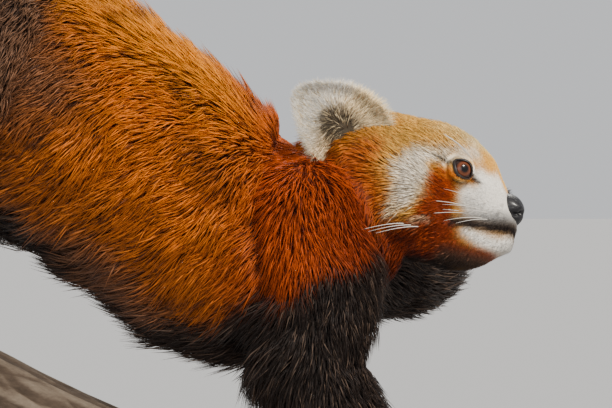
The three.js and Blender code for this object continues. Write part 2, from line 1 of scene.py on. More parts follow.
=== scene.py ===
# %% [markdown]
# # A red panda on a branch
# The frame holds a solid red panda, a cut branch and a display stand, all at their real size.
# This lesson dresses them: one skin under the whole coat, fur in tufts, eyes, nose and claws.
# Every shape is worked out as whole arrays, in millimetres, and written to a mesh in metres.

# %% Load the frame
import math
import bpy
import numpy as np
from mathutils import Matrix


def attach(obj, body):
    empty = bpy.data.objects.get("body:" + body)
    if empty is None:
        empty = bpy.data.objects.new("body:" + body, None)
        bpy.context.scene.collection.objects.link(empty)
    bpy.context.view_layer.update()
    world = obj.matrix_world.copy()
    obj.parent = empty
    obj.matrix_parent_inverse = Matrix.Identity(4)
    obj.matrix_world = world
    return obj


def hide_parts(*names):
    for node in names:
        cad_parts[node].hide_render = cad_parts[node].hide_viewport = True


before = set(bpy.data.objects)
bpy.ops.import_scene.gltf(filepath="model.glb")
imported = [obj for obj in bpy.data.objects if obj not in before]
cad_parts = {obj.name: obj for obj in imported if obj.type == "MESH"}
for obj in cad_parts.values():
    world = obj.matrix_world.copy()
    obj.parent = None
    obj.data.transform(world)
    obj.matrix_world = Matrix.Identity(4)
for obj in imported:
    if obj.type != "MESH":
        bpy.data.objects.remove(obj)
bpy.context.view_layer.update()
print("frame", sorted(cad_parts))

# %% [markdown]
# ## The camera and the light
# The animal is seen square from its right side, from far off, so a long lens is used.
# A long lens flattens the view, so near and far parts keep almost the same scale.
# Suns with a wide disc light it softly, with no fall-off, so the floor keeps one tone.
# A lamp near the model would do too, but it leaves a bright pool on the floor.

# %% Camera and suns
MM = 0.001
CAMERA_PLACE = (150.0, -2300.0, 395.0)
VIEW_WIDTH = 408.0
SUNS = [
    # name, azimuth, elevation, strength, width of the disc in degrees, colour
    ("key", 36, 42, 3.9, 8, (1.0, 0.95, 0.86)),
    ("fill", -20, 8, 1.3, 60, (0.95, 0.97, 1.0)),
    ("rim", 165, 50, 1.6, 20, (1.0, 0.96, 0.88)),
]
SKY_TONE, SKY_STRENGTH = (0.80, 0.81, 0.83, 1), 0.85


def add_camera():
    """Lens in mm = sensor width * distance / width seen at that distance."""
    data = bpy.data.cameras.new("camera")
    data.sensor_width = 36.0
    data.lens = data.sensor_width * -CAMERA_PLACE[1] / VIEW_WIDTH
    data.clip_start, data.clip_end = 0.1, 400.0
    camera = bpy.data.objects.new("camera", data)
    camera.location = [value * MM for value in CAMERA_PLACE]
    camera.rotation_euler = (math.pi / 2, 0, 0)
    bpy.context.scene.collection.objects.link(camera)
    bpy.context.scene.camera = camera


def add_sun(name, azimuth, elevation, strength, disc, colour):
    """A sun that shines from an azimuth (0 from -Y, 90 from +X) and an elevation, in degrees."""
    data = bpy.data.lights.new(name, "SUN")
    data.energy, data.angle, data.color = strength, math.radians(disc), colour
    lamp = bpy.data.objects.new(name, data)
    lamp.rotation_euler = (math.radians(90 - elevation), 0, math.radians(azimuth))
    bpy.context.scene.collection.objects.link(lamp)


add_camera()
for row in SUNS:
    add_sun(*row)
world = bpy.data.worlds.new("studio")
bpy.context.scene.world = world
world.use_nodes = True
sky = world.node_tree.nodes["Background"].inputs
sky["Color"].default_value, sky["Strength"].default_value = SKY_TONE, SKY_STRENGTH
print("camera lens", round(bpy.context.scene.camera.data.lens, 1), "mm")

# %% [markdown]
# ## Arrays to meshes
# Most pieces here are grids: rows along a path, and columns around it.
# Two small helpers turn any grid into a mesh, so that every later cell only gives a formula.

# %% Mesh helpers
SEED = 7
POLE = 0.02
draw = np.random.default_rng(SEED)


def unit(vectors):
    """Each vector divided by its length."""
    vectors = np.asarray(vectors, float)
    return vectors / np.maximum(np.linalg.norm(vectors, axis=-1, keepdims=True), 1e-9)


def circle(columns):
    """The angles of a ring's columns, as one row."""
    return np.linspace(0, 2 * np.pi, columns, endpoint=False)[None, :]


def unit_ball(rows, columns):
    """Ring at angle t from the back pole = (-cos t, sin t * cos a, sin t * sin a)."""
    turn, angle = np.linspace(POLE, np.pi - POLE, rows)[:, None], circle(columns)
    return np.stack([-np.cos(turn) + 0 * angle, np.sin(turn) * np.cos(angle), np.sin(turn) * np.sin(angle)], -1)


def sided(name, sign):
    """The name with its side: left where the sign is positive."""
    return name + ("_left" if sign > 0 else "_right")


def put_mesh(name, points, faces):
    """Points in mm and blocks of faces (rows of 3 or 4 point numbers) become a mesh object in metres."""
    blocks = [np.asarray(block, np.int32) for block in faces if len(block)]
    sizes = np.concatenate([np.full(len(block), block.shape[1]) for block in blocks])
    corners = np.concatenate([block.ravel() for block in blocks])
    mesh = bpy.data.meshes.new(name)
    mesh.vertices.add(len(points))
    mesh.vertices.foreach_set("co", (np.asarray(points) * MM).astype(np.float32).ravel())
    mesh.loops.add(len(corners))
    mesh.loops.foreach_set("vertex_index", corners)
    mesh.polygons.add(len(sizes))
    mesh.polygons.foreach_set("loop_start", (np.cumsum(sizes) - sizes).astype(np.int32))
    mesh.update(calc_edges=True)
    mesh.polygons.foreach_set("use_smooth", np.ones(len(sizes), bool))
    piece = bpy.data.objects.new(name, mesh)
    bpy.context.scene.collection.objects.link(piece)
    return piece


def grid_faces(rows, columns, wrap_rows=False):
    """Quads between neighbouring rows; columns close into a ring, rows too if asked."""
    row = np.arange(rows if wrap_rows else rows - 1)[:, None]
    column = np.arange(columns)[None, :]
    beside, below = (column + 1) % columns, (row + 1) % rows
    quads = [row * columns + column, row * columns + beside, below * columns + beside, below * columns + column]
    return np.stack(quads, -1).reshape(-1, 4)


def closed_tube(rings):
    """Rings (rows, columns, 3) and a pole at the middle of the first and of the last ring, closed by fans."""
    rows, columns = rings.shape[:2]
    poles = np.stack([rings[0].mean(0), rings[-1].mean(0)])
    points = np.concatenate([rings.reshape(-1, 3), poles])
    here = np.arange(columns)
    beside = (here + 1) % columns
    first = np.stack([np.full(columns, rows * columns), beside, here], -1)
    last = np.stack([np.full(columns, rows * columns + 1), here, beside], -1)
    last[:, 1:] += (rows - 1) * columns
    return points, [grid_faces(rows, columns), np.concatenate([first, last])]


def join_tubes(name, many):
    """Closes each set of rings and joins them all into one mesh."""
    points, faces, start = [], [], 0
    for rings in many:
        more, blocks = closed_tube(rings)
        points.append(more)
        faces += [block + start for block in blocks]
        start += len(more)
    return put_mesh(name, np.concatenate(points), faces)


def ease_rows(rows, count):
    """A cubic curve through the rows: each stretch blends its two ends and their slopes."""
    rows = np.asarray(rows, float)
    slopes = np.gradient(rows, axis=0)
    place = np.linspace(0, len(rows) - 1, count)
    index = np.minimum(place.astype(int), len(rows) - 2)
    part = (place - index)[:, None]
    ends = (2 * part**3 - 3 * part**2 + 1) * rows[index] + (3 * part**2 - 2 * part**3) * rows[index + 1]
    bends = (part**3 - 2 * part**2 + part) * slopes[index] + (part**3 - part**2) * slopes[index + 1]
    return ends + bends


def swept_rings(centres, halves, side, columns, domes=(0.0, 0.0)):
    """Ring = centre + side * half 1 * cos + (way x side) * half 2 * sin; domes round the ends off."""
    centres, halves = np.asarray(centres, float), np.asarray(halves, float)
    way = unit(np.gradient(centres, axis=0))
    steps = np.linspace(0, 1, 7)[:-1]
    shrink = np.sqrt(1 - steps[1:] ** 2)[:, None]
    if domes[0]:
        added = centres[0] - way[0] * domes[0] * steps[1:, None]
        centres = np.concatenate([added[::-1], centres])
        halves = np.concatenate([(halves[0] * shrink)[::-1], halves])
    if domes[1]:
        added = centres[-1] + way[-1] * domes[1] * steps[1:, None]
        centres, halves = np.concatenate([centres, added]), np.concatenate([halves, halves[-1] * shrink])
    way = unit(np.gradient(centres, axis=0))
    across = unit(side - way * (way @ np.asarray(side, float))[:, None])
    up = np.cross(way, across)
    angle = circle(columns)[..., None]
    return (
        centres[:, None]
        + across[:, None] * halves[:, :1, None] * np.cos(angle)
        + up[:, None] * halves[:, 1:, None] * np.sin(angle)
    )


print("helpers ready")

# %% [markdown]
# ## The shader class
# Shader maths reads best as plain sums, so one class wraps a socket and takes +, - and *.
# Any other node comes from its one method, which sets the node's choices first and its sockets next.

# %% Shader class
class Tone:
    """One socket of a material's node tree."""

    def __init__(self, tree, socket=None):
        self.tree, self.socket = tree, socket

    def node(self, kind, choices=None, sockets=None, output=0):
        """Adds a node: its choices first (a ramp's stops too), then values or links of its sockets."""
        made = self.tree.nodes.new(kind)
        for name, value in (choices or {}).items():
            if name == "stops":
                ramp = made.color_ramp
                while len(ramp.elements) < len(value):
                    ramp.elements.new(0.5)
                for element, (place, colour) in zip(ramp.elements, value):
                    element.position, element.color = place, (*colour, 1)
            else:
                setattr(made, name, value)
        for name, value in (sockets or {}).items():
            if isinstance(value, Tone):
                self.tree.links.new(value.socket, made.inputs[name])
            elif isinstance(value, tuple) and len(value) == 3 and made.inputs[name].type == "RGBA":
                made.inputs[name].default_value = (*value, 1)
            else:
                made.inputs[name].default_value = value
        return Tone(self.tree, made.outputs[output]) if made.outputs else made

    def sum(self, operation, first, second):
        """One step of plain maths as a node."""
        return self.node("ShaderNodeMath", {"operation": operation}, {0: first, 1: second})

    def __add__(self, other):
        return self.sum("ADD", self, other)

    def __sub__(self, other):
        return self.sum("SUBTRACT", self, other)

    def __mul__(self, other):
        return self.sum("MULTIPLY", self, other)

    def __radd__(self, other):
        return self.sum("ADD", other, self)

    def blend(self, first, second):
        """A colour mix whose factor is this socket."""
        first, second = ((*end, 1) if isinstance(end, tuple) else end for end in (first, second))
        return self.node("ShaderNodeMix", {"data_type": "RGBA"}, {0: self, 6: first, 7: second}, 2)


def new_finish(name):
    """An empty material and its first Tone."""
    material = bpy.data.materials.new(name)
    material.use_nodes = True
    material.node_tree.nodes.clear()
    return material, Tone(material.node_tree)


def close_finish(tone, sockets):
    """The principled surface with these sockets, joined to the output."""
    surface = tone.node("ShaderNodeBsdfPrincipled", {}, sockets)
    tone.node("ShaderNodeOutputMaterial", {}, {"Surface": surface})


def bump(tone, height, strength, distance_mm):
    """A bump node from a height field."""
    sockets = {"Strength": strength, "Distance": distance_mm * MM, "Height": height}
    return tone.node("ShaderNodeBump", {}, sockets)


def noise(tone, where, scale, detail=3.0, roughness=0.55, stretch=None):
    """Noise on Object coordinates; scale is in cycles a metre, stretch scales each axis first."""
    if stretch is not None:
        where = tone.node("ShaderNodeMapping", {}, {"Vector": where, "Scale": stretch})
    sockets = {"Vector": where, "Scale": scale, "Detail": detail, "Roughness": roughness}
    return tone.node("ShaderNodeTexNoise", {}, sockets)


def place_of(tone):
    """The Object coordinates, which stay with the piece."""
    return tone.node("ShaderNodeTexCoord", {}, {}, 3)


def attribute(tone, name, output=0):
    """A mesh attribute: output 0 is its colour and output 2 its plain number."""
    return tone.node("ShaderNodeAttribute", {"attribute_name": name}, {}, output)


def dress(piece, finish, slot, *nodes):
    """Gives the piece its finish and its body, and hides the nodes that it stands for; the slot is not used."""
    piece.data.materials.append(finish)
    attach(piece, "root")
    if nodes:
        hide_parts(*nodes)
    return piece


print("shader class ready")

# %% [markdown]
# ## The floor
# A plain pale floor shows the shadow, and so how high the model stands.
# It is one quad, so wide that its edge lies at the horizon, and close to the sky's tone there.

# %% Floor
FLOOR_REACH = 90000
corners = [(x * FLOOR_REACH, y * FLOOR_REACH, 0) for x, y in ((-1, -1), (1, -1), (1, 1), (-1, 1))]
floor = put_mesh("floor", corners, [[(0, 1, 2, 3)]])
floor_finish, tone = new_finish("pale_floor")
close_finish(tone, {"Base Color": (0.385, 0.385, 0.39), "Roughness": 0.9, "Specular IOR Level": 0.1})
floor.data.materials.append(floor_finish)
print("floor laid")

# %% [markdown]
# ## The named sizes of the body
# The solids were drawn from tables of sections: where each lies, how wide and how deep it is.
# The same tables are given again here, so that the skin and the coat follow the solids closely.
# They reach out to the tips of the coat, and the skin lies inside them by the coat's depth.

# %% Body sizes
LEFT = np.array([0.0, 1.0, 0.0])
HEAD_PITCH, HEAD_TURN, HEAD_ROLL = 12.0, 12.0, 8.0
HEAD_CENTRE = np.array([225.0, 0.0, 400.0])
SPINE_SLOPE = math.radians(37)
CHEST = np.array([98.0, 0.0, 367.0])
BACKWARD = np.array([-math.cos(SPINE_SLOPE), 0, math.sin(SPINE_SLOPE)])
SPINE_UP = np.array([math.sin(SPINE_SLOPE), 0, math.cos(SPINE_SLOPE)])
TORSO = [
    (-76, 27, 40, 36), (-44, 12, 62, 62), (0, 0, 74, 78), (57, 6, 82, 86), (117, 6, 83, 86),
    (166, 8, 80, 83), (236, 10, 74, 78), (279, 5, 56, 58), (299, -2, 33, 33),
]
NECK = [(212, -2, 398, 46, 46), (185, 0, 390, 53, 53), (140, 0, 380, 60, 60), (90, 0, 390, 64, 60)]
CRANIUM = [
    (-66, 6, 34, 38), (-45, 10, 42, 48), (-18, 12, 42, 51), (8, 12, 42, 46), (28, 13, 37, 35), (38, 14, 30, 27),
]
MUZZLE = [(30, 12, 32, 28), (44, 9.5, 28, 25), (52, 4.5, 21.5, 21), (60, -1.5, 16.5, 16.5), (66, -6.5, 10, 12.5)]
JAW = [
    (-30, -14, 28, 36), (0, -14, 30, 36), (32, -17, 29, 27), (50, -18, 23, 21), (60, -17.5, 16, 16), (66, -18, 11, 12),
]
CHEEK, CHEEK_HALF = np.array([-8.0, 27, -8]), np.array([36.0, 25, 31])
LIMBS = {
    "foreleg_right": [
        (148, -34, 388, 44), (160, -42, 345, 44), (154, -44, 292, 42), (182, -36, 240, 34), (206, -28, 204, 25),
    ],
    "foreleg_left": [
        (148, 34, 388, 44), (174, 60, 360, 43), (224, 100, 350, 36), (244, 110, 374, 29), (252, 128, 390, 23),
    ],
    "hindleg_right": [
        (-58, -30, 505, 58), (-78, -42, 468, 56), (-112, -50, 410, 44), (-164, -42, 396, 34), (-205, -31, 386, 27),
    ],
    "hindleg_left": [
        (-58, 30, 505, 58), (-70, 42, 466, 56), (-88, 54, 400, 44), (-130, 44, 382, 34), (-168, 32, 368, 27),
    ],
}
TAIL = [
    (-128, 0, 541, 30), (-150, 0, 549, 36), (-200, 4, 563, 42), (-252, 10, 556, 44), (-300, 16, 524, 45),
    (-334, 20, 474, 44), (-348, 20, 414, 42), (-344, 16, 354, 37), (-330, 10, 306, 25),
]
BODY_DEPTH, TAIL_DEPTH, PAW_DEPTH = 9.0, 11.0, 3.5
CRANIUM_DEPTH, CHEEK_DEPTH, JAW_DEPTH, MUZZLE_DEPTH, TOE_DEPTH = 5.0, 7.0, 4.0, 2.6, 1.0


def turned(degrees, axis):
    """The matrix of a turn about X (0), Y (1) or Z (2)."""
    c, s = math.cos(math.radians(degrees)), math.sin(math.radians(degrees))
    first, second = [(1, 2), (2, 0), (0, 1)][axis]
    matrix = np.eye(3)
    matrix[first, first] = matrix[second, second] = c
    matrix[first, second], matrix[second, first] = -s, s
    return matrix


HEAD = turned(-HEAD_TURN, 2) @ turned(HEAD_PITCH, 1) @ turned(-HEAD_ROLL, 0)


def in_head(points):
    """Head's own (ahead, left, up) to the frame."""
    return HEAD_CENTRE + np.asarray(points, float) @ HEAD.T


def from_head(points):
    """The frame to the head's own (ahead, left, up)."""
    return (np.asarray(points, float) - HEAD_CENTRE) @ HEAD


def head_way(way):
    """A direction in the head's own axes to the frame."""
    return np.asarray(way, float) @ HEAD.T


def along_spine(back, lift):
    """Chest + backward * back + up from the spine * lift."""
    return CHEST + np.asarray(back)[..., None] * BACKWARD + np.asarray(lift)[..., None] * SPINE_UP


BRANCH_SLOPE = math.radians(25)
BRANCH_ALONG = np.array([math.cos(BRANCH_SLOPE), 0, -math.sin(BRANCH_SLOPE)])
BRANCH_OUT = np.array([math.sin(BRANCH_SLOPE), 0, math.cos(BRANCH_SLOPE)])
BRANCH_TOP, BRANCH_BASE_RADIUS = np.array([225.0, 0, 169.0]), 46.0
BRANCH_ENDS = (-255.0, 290.0)


def branch_radius(x):
    """46 mm, thinner towards one end, with two swellings where twigs were cut."""
    swellings = 2.5 * np.exp(-(((x + 60) / 30) ** 2)) + 3 * np.exp(-(((x - 120) / 24) ** 2))
    return BRANCH_BASE_RADIUS + 0.014 * (x - 225) + swellings


BRANCH_AXIS = BRANCH_TOP - BRANCH_OUT * branch_radius(BRANCH_TOP[0])


def on_branch(x, around, height):
    """Axis at x + outward radial at the angle * (radius + height)."""
    x, around = np.asarray(x, float), np.asarray(around, float)
    axis = BRANCH_AXIS + ((x - BRANCH_TOP[0]) / BRANCH_ALONG[0])[..., None] * BRANCH_ALONG
    radial = np.cos(around)[..., None] * BRANCH_OUT + np.sin(around)[..., None] * LEFT
    return axis + radial * (branch_radius(x) + height)[..., None]


def paw_frame(x, degrees):
    """Middle, way and up of a paw that stands on the branch, at an angle round from its top."""
    around = math.radians(degrees)
    return on_branch(x, around, 10.0), BRANCH_ALONG, math.cos(around) * BRANCH_OUT + math.sin(around) * LEFT


RAISED_WAY, PALM_WAY = unit([0.35, 0.9, 0.2]), np.array([0.3, 0.1, -1.0])
PAWS = {
    "forepaw_right": paw_frame(218, -27),
    "forepaw_left": (np.array([262.0, 152, 396]), RAISED_WAY, unit(RAISED_WAY * (PALM_WAY @ RAISED_WAY) - PALM_WAY)),
    "hindpaw_right": paw_frame(-178, -33),
    "hindpaw_left": paw_frame(-140, 33),
}
PAD = [(-31, 3, 16, 12), (-6, 2, 19, 12.6), (18.6, -1, 21, 10.2)]
TOES, TOE_GAP, TOE_FAN = range(-2, 3), 9.4, math.radians(4)


def toe_base(middle, way, up, step, drop):
    """Start and way of a toe: the toes fan out, and the outer ones start further back."""
    side = np.cross(up, way)
    start = middle + way * (15.5 - step**2) + side * TOE_GAP * step - up * drop
    return start, way * math.cos(TOE_FAN * step) + side * math.sin(TOE_FAN * step)


print("paws at", {name: place[0].round().tolist() for name, place in PAWS.items()})

# %% [markdown]
# ## One skin
# Under the coat the body has one skin with no seam, so one skin is built.
# Head, neck, trunk, legs, toes and tail are first separate closed surfaces that run into each other.
# A voxel remesh joins them into one surface, and a light smoothing rounds the creases where they meet.

# %% Skin surfaces
def head_rings(rows, inset, domes):
    """Upright ellipses along the skull: (a, wide * cos, c + deep * sin), with a dome at each end."""
    rows = ease_rows(rows, 24)
    rows[:, 2:] -= inset
    steps = np.linspace(0, 1, 7)[1:-1, None]
    shrink = np.sqrt(1 - steps**2)
    first, last = rows[0] * [1, 1, 0, 0], rows[-1] * [1, 1, 0, 0]
    back = first - [domes[0], 0, 0, 0] * steps + rows[0] * [0, 0, 1, 1] * shrink
    front = last + [domes[1], 0, 0, 0] * steps + rows[-1] * [0, 0, 1, 1] * shrink
    a, c, deep, wide = np.moveaxis(np.concatenate([back[::-1], rows, front])[:, None], -1, 0)
    angle = circle(40)
    return in_head(np.stack([a + 0 * angle, wide * np.cos(angle), c + deep * np.sin(angle)], -1))


def limb_rings(joints, inset, count=40):
    """Round rings through the joints (x, y, z, radius), with a dome of the same radius at each end."""
    rows = ease_rows(joints, count)
    radius = np.maximum(rows[:, 3:] - inset, 6)
    side = LEFT * 0.94 + BACKWARD * 0.34
    return swept_rings(rows[:, :3], np.repeat(radius, 2, 1), side, 32, (radius[0, 0], radius[-1, 0]))


def paw_rings(middle, way, up):
    """A pad of three sections and five toes, each bent down at its end."""
    side = np.cross(up, way)
    rows = ease_rows(PAD, 14)
    centres = middle + rows[:, :1] * way + rows[:, 1:2] * up
    found = [swept_rings(centres, rows[:, 2:] - PAW_DEPTH, side, 28, (9, 6))]
    s = np.linspace(0, 1, 10)[:, None]
    radius = 5.2 - TOE_DEPTH + 0.5 * np.sin(np.pi * s)
    for step in TOES:
        start, toe_way = toe_base(middle, way, up, step, 3)
        path = start + toe_way * np.linspace(-6, 15, 10)[:, None] - up * s**2 * 2.5
        found.append(swept_rings(path, np.repeat(radius, 2, 1), side, 16, (3, 4)))
    return found


torso, neck = ease_rows(TORSO, 60), ease_rows(NECK, 30)
surfaces = [
    swept_rings(along_spine(torso[:, 0], torso[:, 1]), torso[:, 2:] - BODY_DEPTH, LEFT, 64, (12, 8)),
    swept_rings(neck[:, :3], neck[:, 3:] - BODY_DEPTH, LEFT, 48, (14, 14)),
    head_rings(CRANIUM, CRANIUM_DEPTH, (12, 8)),
    head_rings(MUZZLE, MUZZLE_DEPTH, (8, 4)),
    head_rings(JAW, JAW_DEPTH, (10, 4)),
]
surfaces += [in_head(CHEEK * [1, sign, 1] + unit_ball(20, 28) * (CHEEK_HALF - CHEEK_DEPTH)) for sign in (1, -1)]
surfaces += [limb_rings(joints, BODY_DEPTH) for joints in LIMBS.values()] + [limb_rings(TAIL, TAIL_DEPTH, 90)]
surfaces += [rings for place in PAWS.values() for rings in paw_rings(*place)]
skin = join_tubes("skin", surfaces)
print("skin surfaces", len(surfaces))

# %% Remesh and smooth the skin
SKIN_VOXEL = 2.6


def apply_modifiers(piece):
    """Writes what the modifiers make into the piece's own mesh."""
    evaluated = piece.evaluated_get(bpy.context.evaluated_depsgraph_get())
    mesh = bpy.data.meshes.new_from_object(evaluated)
    piece.modifiers.clear()
    old, piece.data = piece.data, mesh
    bpy.data.meshes.remove(old)


remesh = skin.modifiers.new("join", "REMESH")
remesh.mode, remesh.voxel_size, remesh.use_smooth_shade = "VOXEL", SKIN_VOXEL * MM, True
smooth = skin.modifiers.new("soften", "SMOOTH")
smooth.factor, smooth.iterations = 0.5, 9
apply_modifiers(skin)
skin.data.name = "skin"
print("skin faces", len(skin.data.polygons))

# %% [markdown]
# ## Where each hair belongs
# The markings and the lie of the coat are functions of place, worked out part by part.
# Every part has a centre line with a radius, and a point belongs most to the part it is nearest to.
# Close to a joint two parts share a point, so that colour and direction pass over without a step.

# %% Centre lines of the parts
HEAD_LINE = [(-58, 8, 36), (-20, 2, 47), (18, 2, 41), (44, 0, 27), (64, -2, 14)]
SHARE_WIDTH, NECK_FADE = 7.0, 34


def head_line():
    """Points and radii of the skull's centre line, from rows (ahead, up, radius)."""
    rows = np.array(HEAD_LINE, float)
    return in_head(np.stack([rows[:, 0], 0 * rows[:, 0], rows[:, 1]], -1)), rows[:, 2]


def part_lines():
    """Name -> (points, radii) of each part's centre line, from its root outward."""
    torso, neck, tail = np.array(TORSO, float), np.array(NECK, float), ease_rows(TAIL, 28)
    lines = {
        "head": head_line(),
        "neck": (neck[:, :3], neck[:, 3:].mean(1)),
        "torso": (along_spine(torso[:, 0], torso[:, 1]), torso[:, 2:].mean(1)),
        "tail": (tail[:, :3], tail[:, 3]),
    }
    for name, joints in LIMBS.items():
        rows = ease_rows(joints, 12)
        lines[name] = (rows[:, :3], rows[:, 3])
    for name, (middle, way, up) in PAWS.items():
        lines[name] = (middle + np.array([-30.0, 0, 34])[:, None] * way, np.array([15.0, 17, 9]))
    return lines


LINES = part_lines()
PART_NAMES = list(LINES)


def measure_line(points, line, radii):
    """Distance outside the line's round cones, length along it, way of its nearest stretch, nearest centre."""
    best, along = np.full(len(points), 1e9), np.zeros(len(points))
    way, centre = np.zeros((2, len(points), 3))
    start = 0.0
    for a, b, r, s in zip(line[:-1], line[1:], radii[:-1], radii[1:]):
        step = b - a
        length = np.linalg.norm(step)
        part = np.clip((points - a) @ step / length**2, 0, 1)
        middle = a + part[:, None] * step
        gap = np.linalg.norm(points - middle, axis=1) - (r + (s - r) * part)
        nearer = gap < best
        best = np.where(nearer, gap, best)
        along = np.where(nearer, start + part * length, along)
        way = np.where(nearer[:, None], step / length, way)
        centre = np.where(nearer[:, None], middle, centre)
        start += length
    return best, along, way, centre


def soft(values, low, high):
    """0 below low, 1 above high, an S-curve between."""
    part = np.clip((values - low) / (high - low), 0, 1)
    return part * part * (3 - 2 * part)


WAVES = {}


def drift(points, size, key):
    """A smooth random field of about -1 to 1: a sum of sines with random ways, whose waves are about size mm."""
    if key not in WAVES:
        wave_draw = np.random.default_rng(SEED * 1000 + key)
        ways = unit(wave_draw.normal(size=(10, 3))) * wave_draw.uniform(0.6, 1.5, (10, 1))
        WAVES[key] = (ways, wave_draw.uniform(0, 6.3, 10))
    ways, starts = WAVES[key]
    return np.sin(points @ ways.T * (2 * np.pi / size) + starts).sum(1) / 3.2


def study(points, normals):
    """All that the coat asks about a place: its share of each part, and the numbers of each part's line."""
    gaps, facts = [], {}
    for name in PART_NAMES:
        facts[name] = measure_line(points, *LINES[name])
        gaps.append(facts[name][0] + (NECK_FADE * soft(points[:, 0], 178, 214) if name == "neck" else 0))
    gaps = np.stack(gaps, 1)
    share = np.exp(-(gaps - gaps.min(1, keepdims=True)) / SHARE_WIDTH)
    share /= share.sum(1, keepdims=True)
    return {"points": points, "normals": normals, "share": share, "nearest": gaps.argmin(1), "facts": facts}


print("parts", PART_NAMES)

# %% [markdown]
# ## The markings
# The coat is rust red and deep red on the neck, with black legs and belly. Painted sunlight makes the upward-facing
# back gold and the top of the head paler; painted shade darkens random patches and the lower flank.
# The face is pale, with a red tear track from each eye; the tail has pale rings and a black tip.
# Each marking is a soft-edged region, and a hair has two tones: a dark root and a bright tip.

# %% Tones and face marks
RUST = ((0.15, 0.036, 0.004), (0.92, 0.225, 0.003))
GOLD = ((0.24, 0.070, 0.006), (0.98, 0.365, 0.008))
RED = ((0.12, 0.016, 0.002), (0.62, 0.088, 0.002))
DEEP_RED = ((0.075, 0.009, 0.002), (0.40, 0.050, 0.003))
SHADED = ((0.040, 0.012, 0.004), (0.33, 0.085, 0.006))
UMBER = ((0.040, 0.022, 0.014), (0.20, 0.115, 0.070))
BLACK = ((0.006, 0.004, 0.004), (0.030, 0.018, 0.013))
SMOKE = ((0.008, 0.006, 0.005), (0.15, 0.095, 0.065))
CREAM = ((0.76, 0.54, 0.30), (0.98, 0.80, 0.50))
WHITE = ((0.80, 0.73, 0.63), (0.99, 0.95, 0.87))
HONEY = ((0.50, 0.21, 0.035), (0.96, 0.54, 0.10))
SAND = ((0.66, 0.38, 0.12), (0.98, 0.74, 0.30))
GREY = ((0.16, 0.15, 0.14), (0.46, 0.44, 0.42))
BUFF = ((0.20, 0.10, 0.04), (0.55, 0.31, 0.13))
EAR_DARK = ((0.015, 0.012, 0.009), (0.20, 0.15, 0.095))
EYE, EYE_FACING, EYE_RADIUS = np.array([28.0, 28, 19.5]), np.array([0.45, 0.88, 0.14]), 8.5
NOSE, NOSE_HALF = np.array([59.8, 0, 2.8]), np.array([12.2, 11.2, 11.8])


def lay_tone(tones, tone, mask):
    """Blends both tones of the hair towards a named pair by the mask."""
    for kind in (0, 1):
        tones[kind] = tones[kind] + (np.array(tone[kind]) - tones[kind]) * mask[:, None]


def flat_tone(count, tone):
    """The same pair for each of the count places."""
    return [np.tile(np.array(tone[kind], float), (count, 1)) for kind in (0, 1)]


def near_stroke(x, z, stroke, edge=3.0):
    """1 inside a stroke of rows (x, z, half width), falling to 0 over the edge."""
    stroke = np.array(stroke, float)
    spot = np.stack([x, z], 1)
    best = np.full(len(x), -1e9)
    for a, b in zip(stroke[:-1], stroke[1:]):
        step = b[:2] - a[:2]
        part = np.clip((spot - a[:2]) @ step / max(step @ step, 1e-6), 0, 1)
        gap = np.linalg.norm(spot - a[:2] - part[:, None] * step, axis=1)
        best = np.maximum(best, a[2] + (b[2] - a[2]) * part - gap)
    return soft(best, -edge, edge)


TAIL_RING, TAIL_UMBER, TAIL_BLACK = 44.0, (372, 392), (392, 412)
# The black of the belly and legs ends at this height: x in mm, then z in mm.
DARK_EDGE = ([-60, 10, 60, 95, 140, 172, 215, 260], [352, 344, 326, 330, 348, 366, 372, 366])


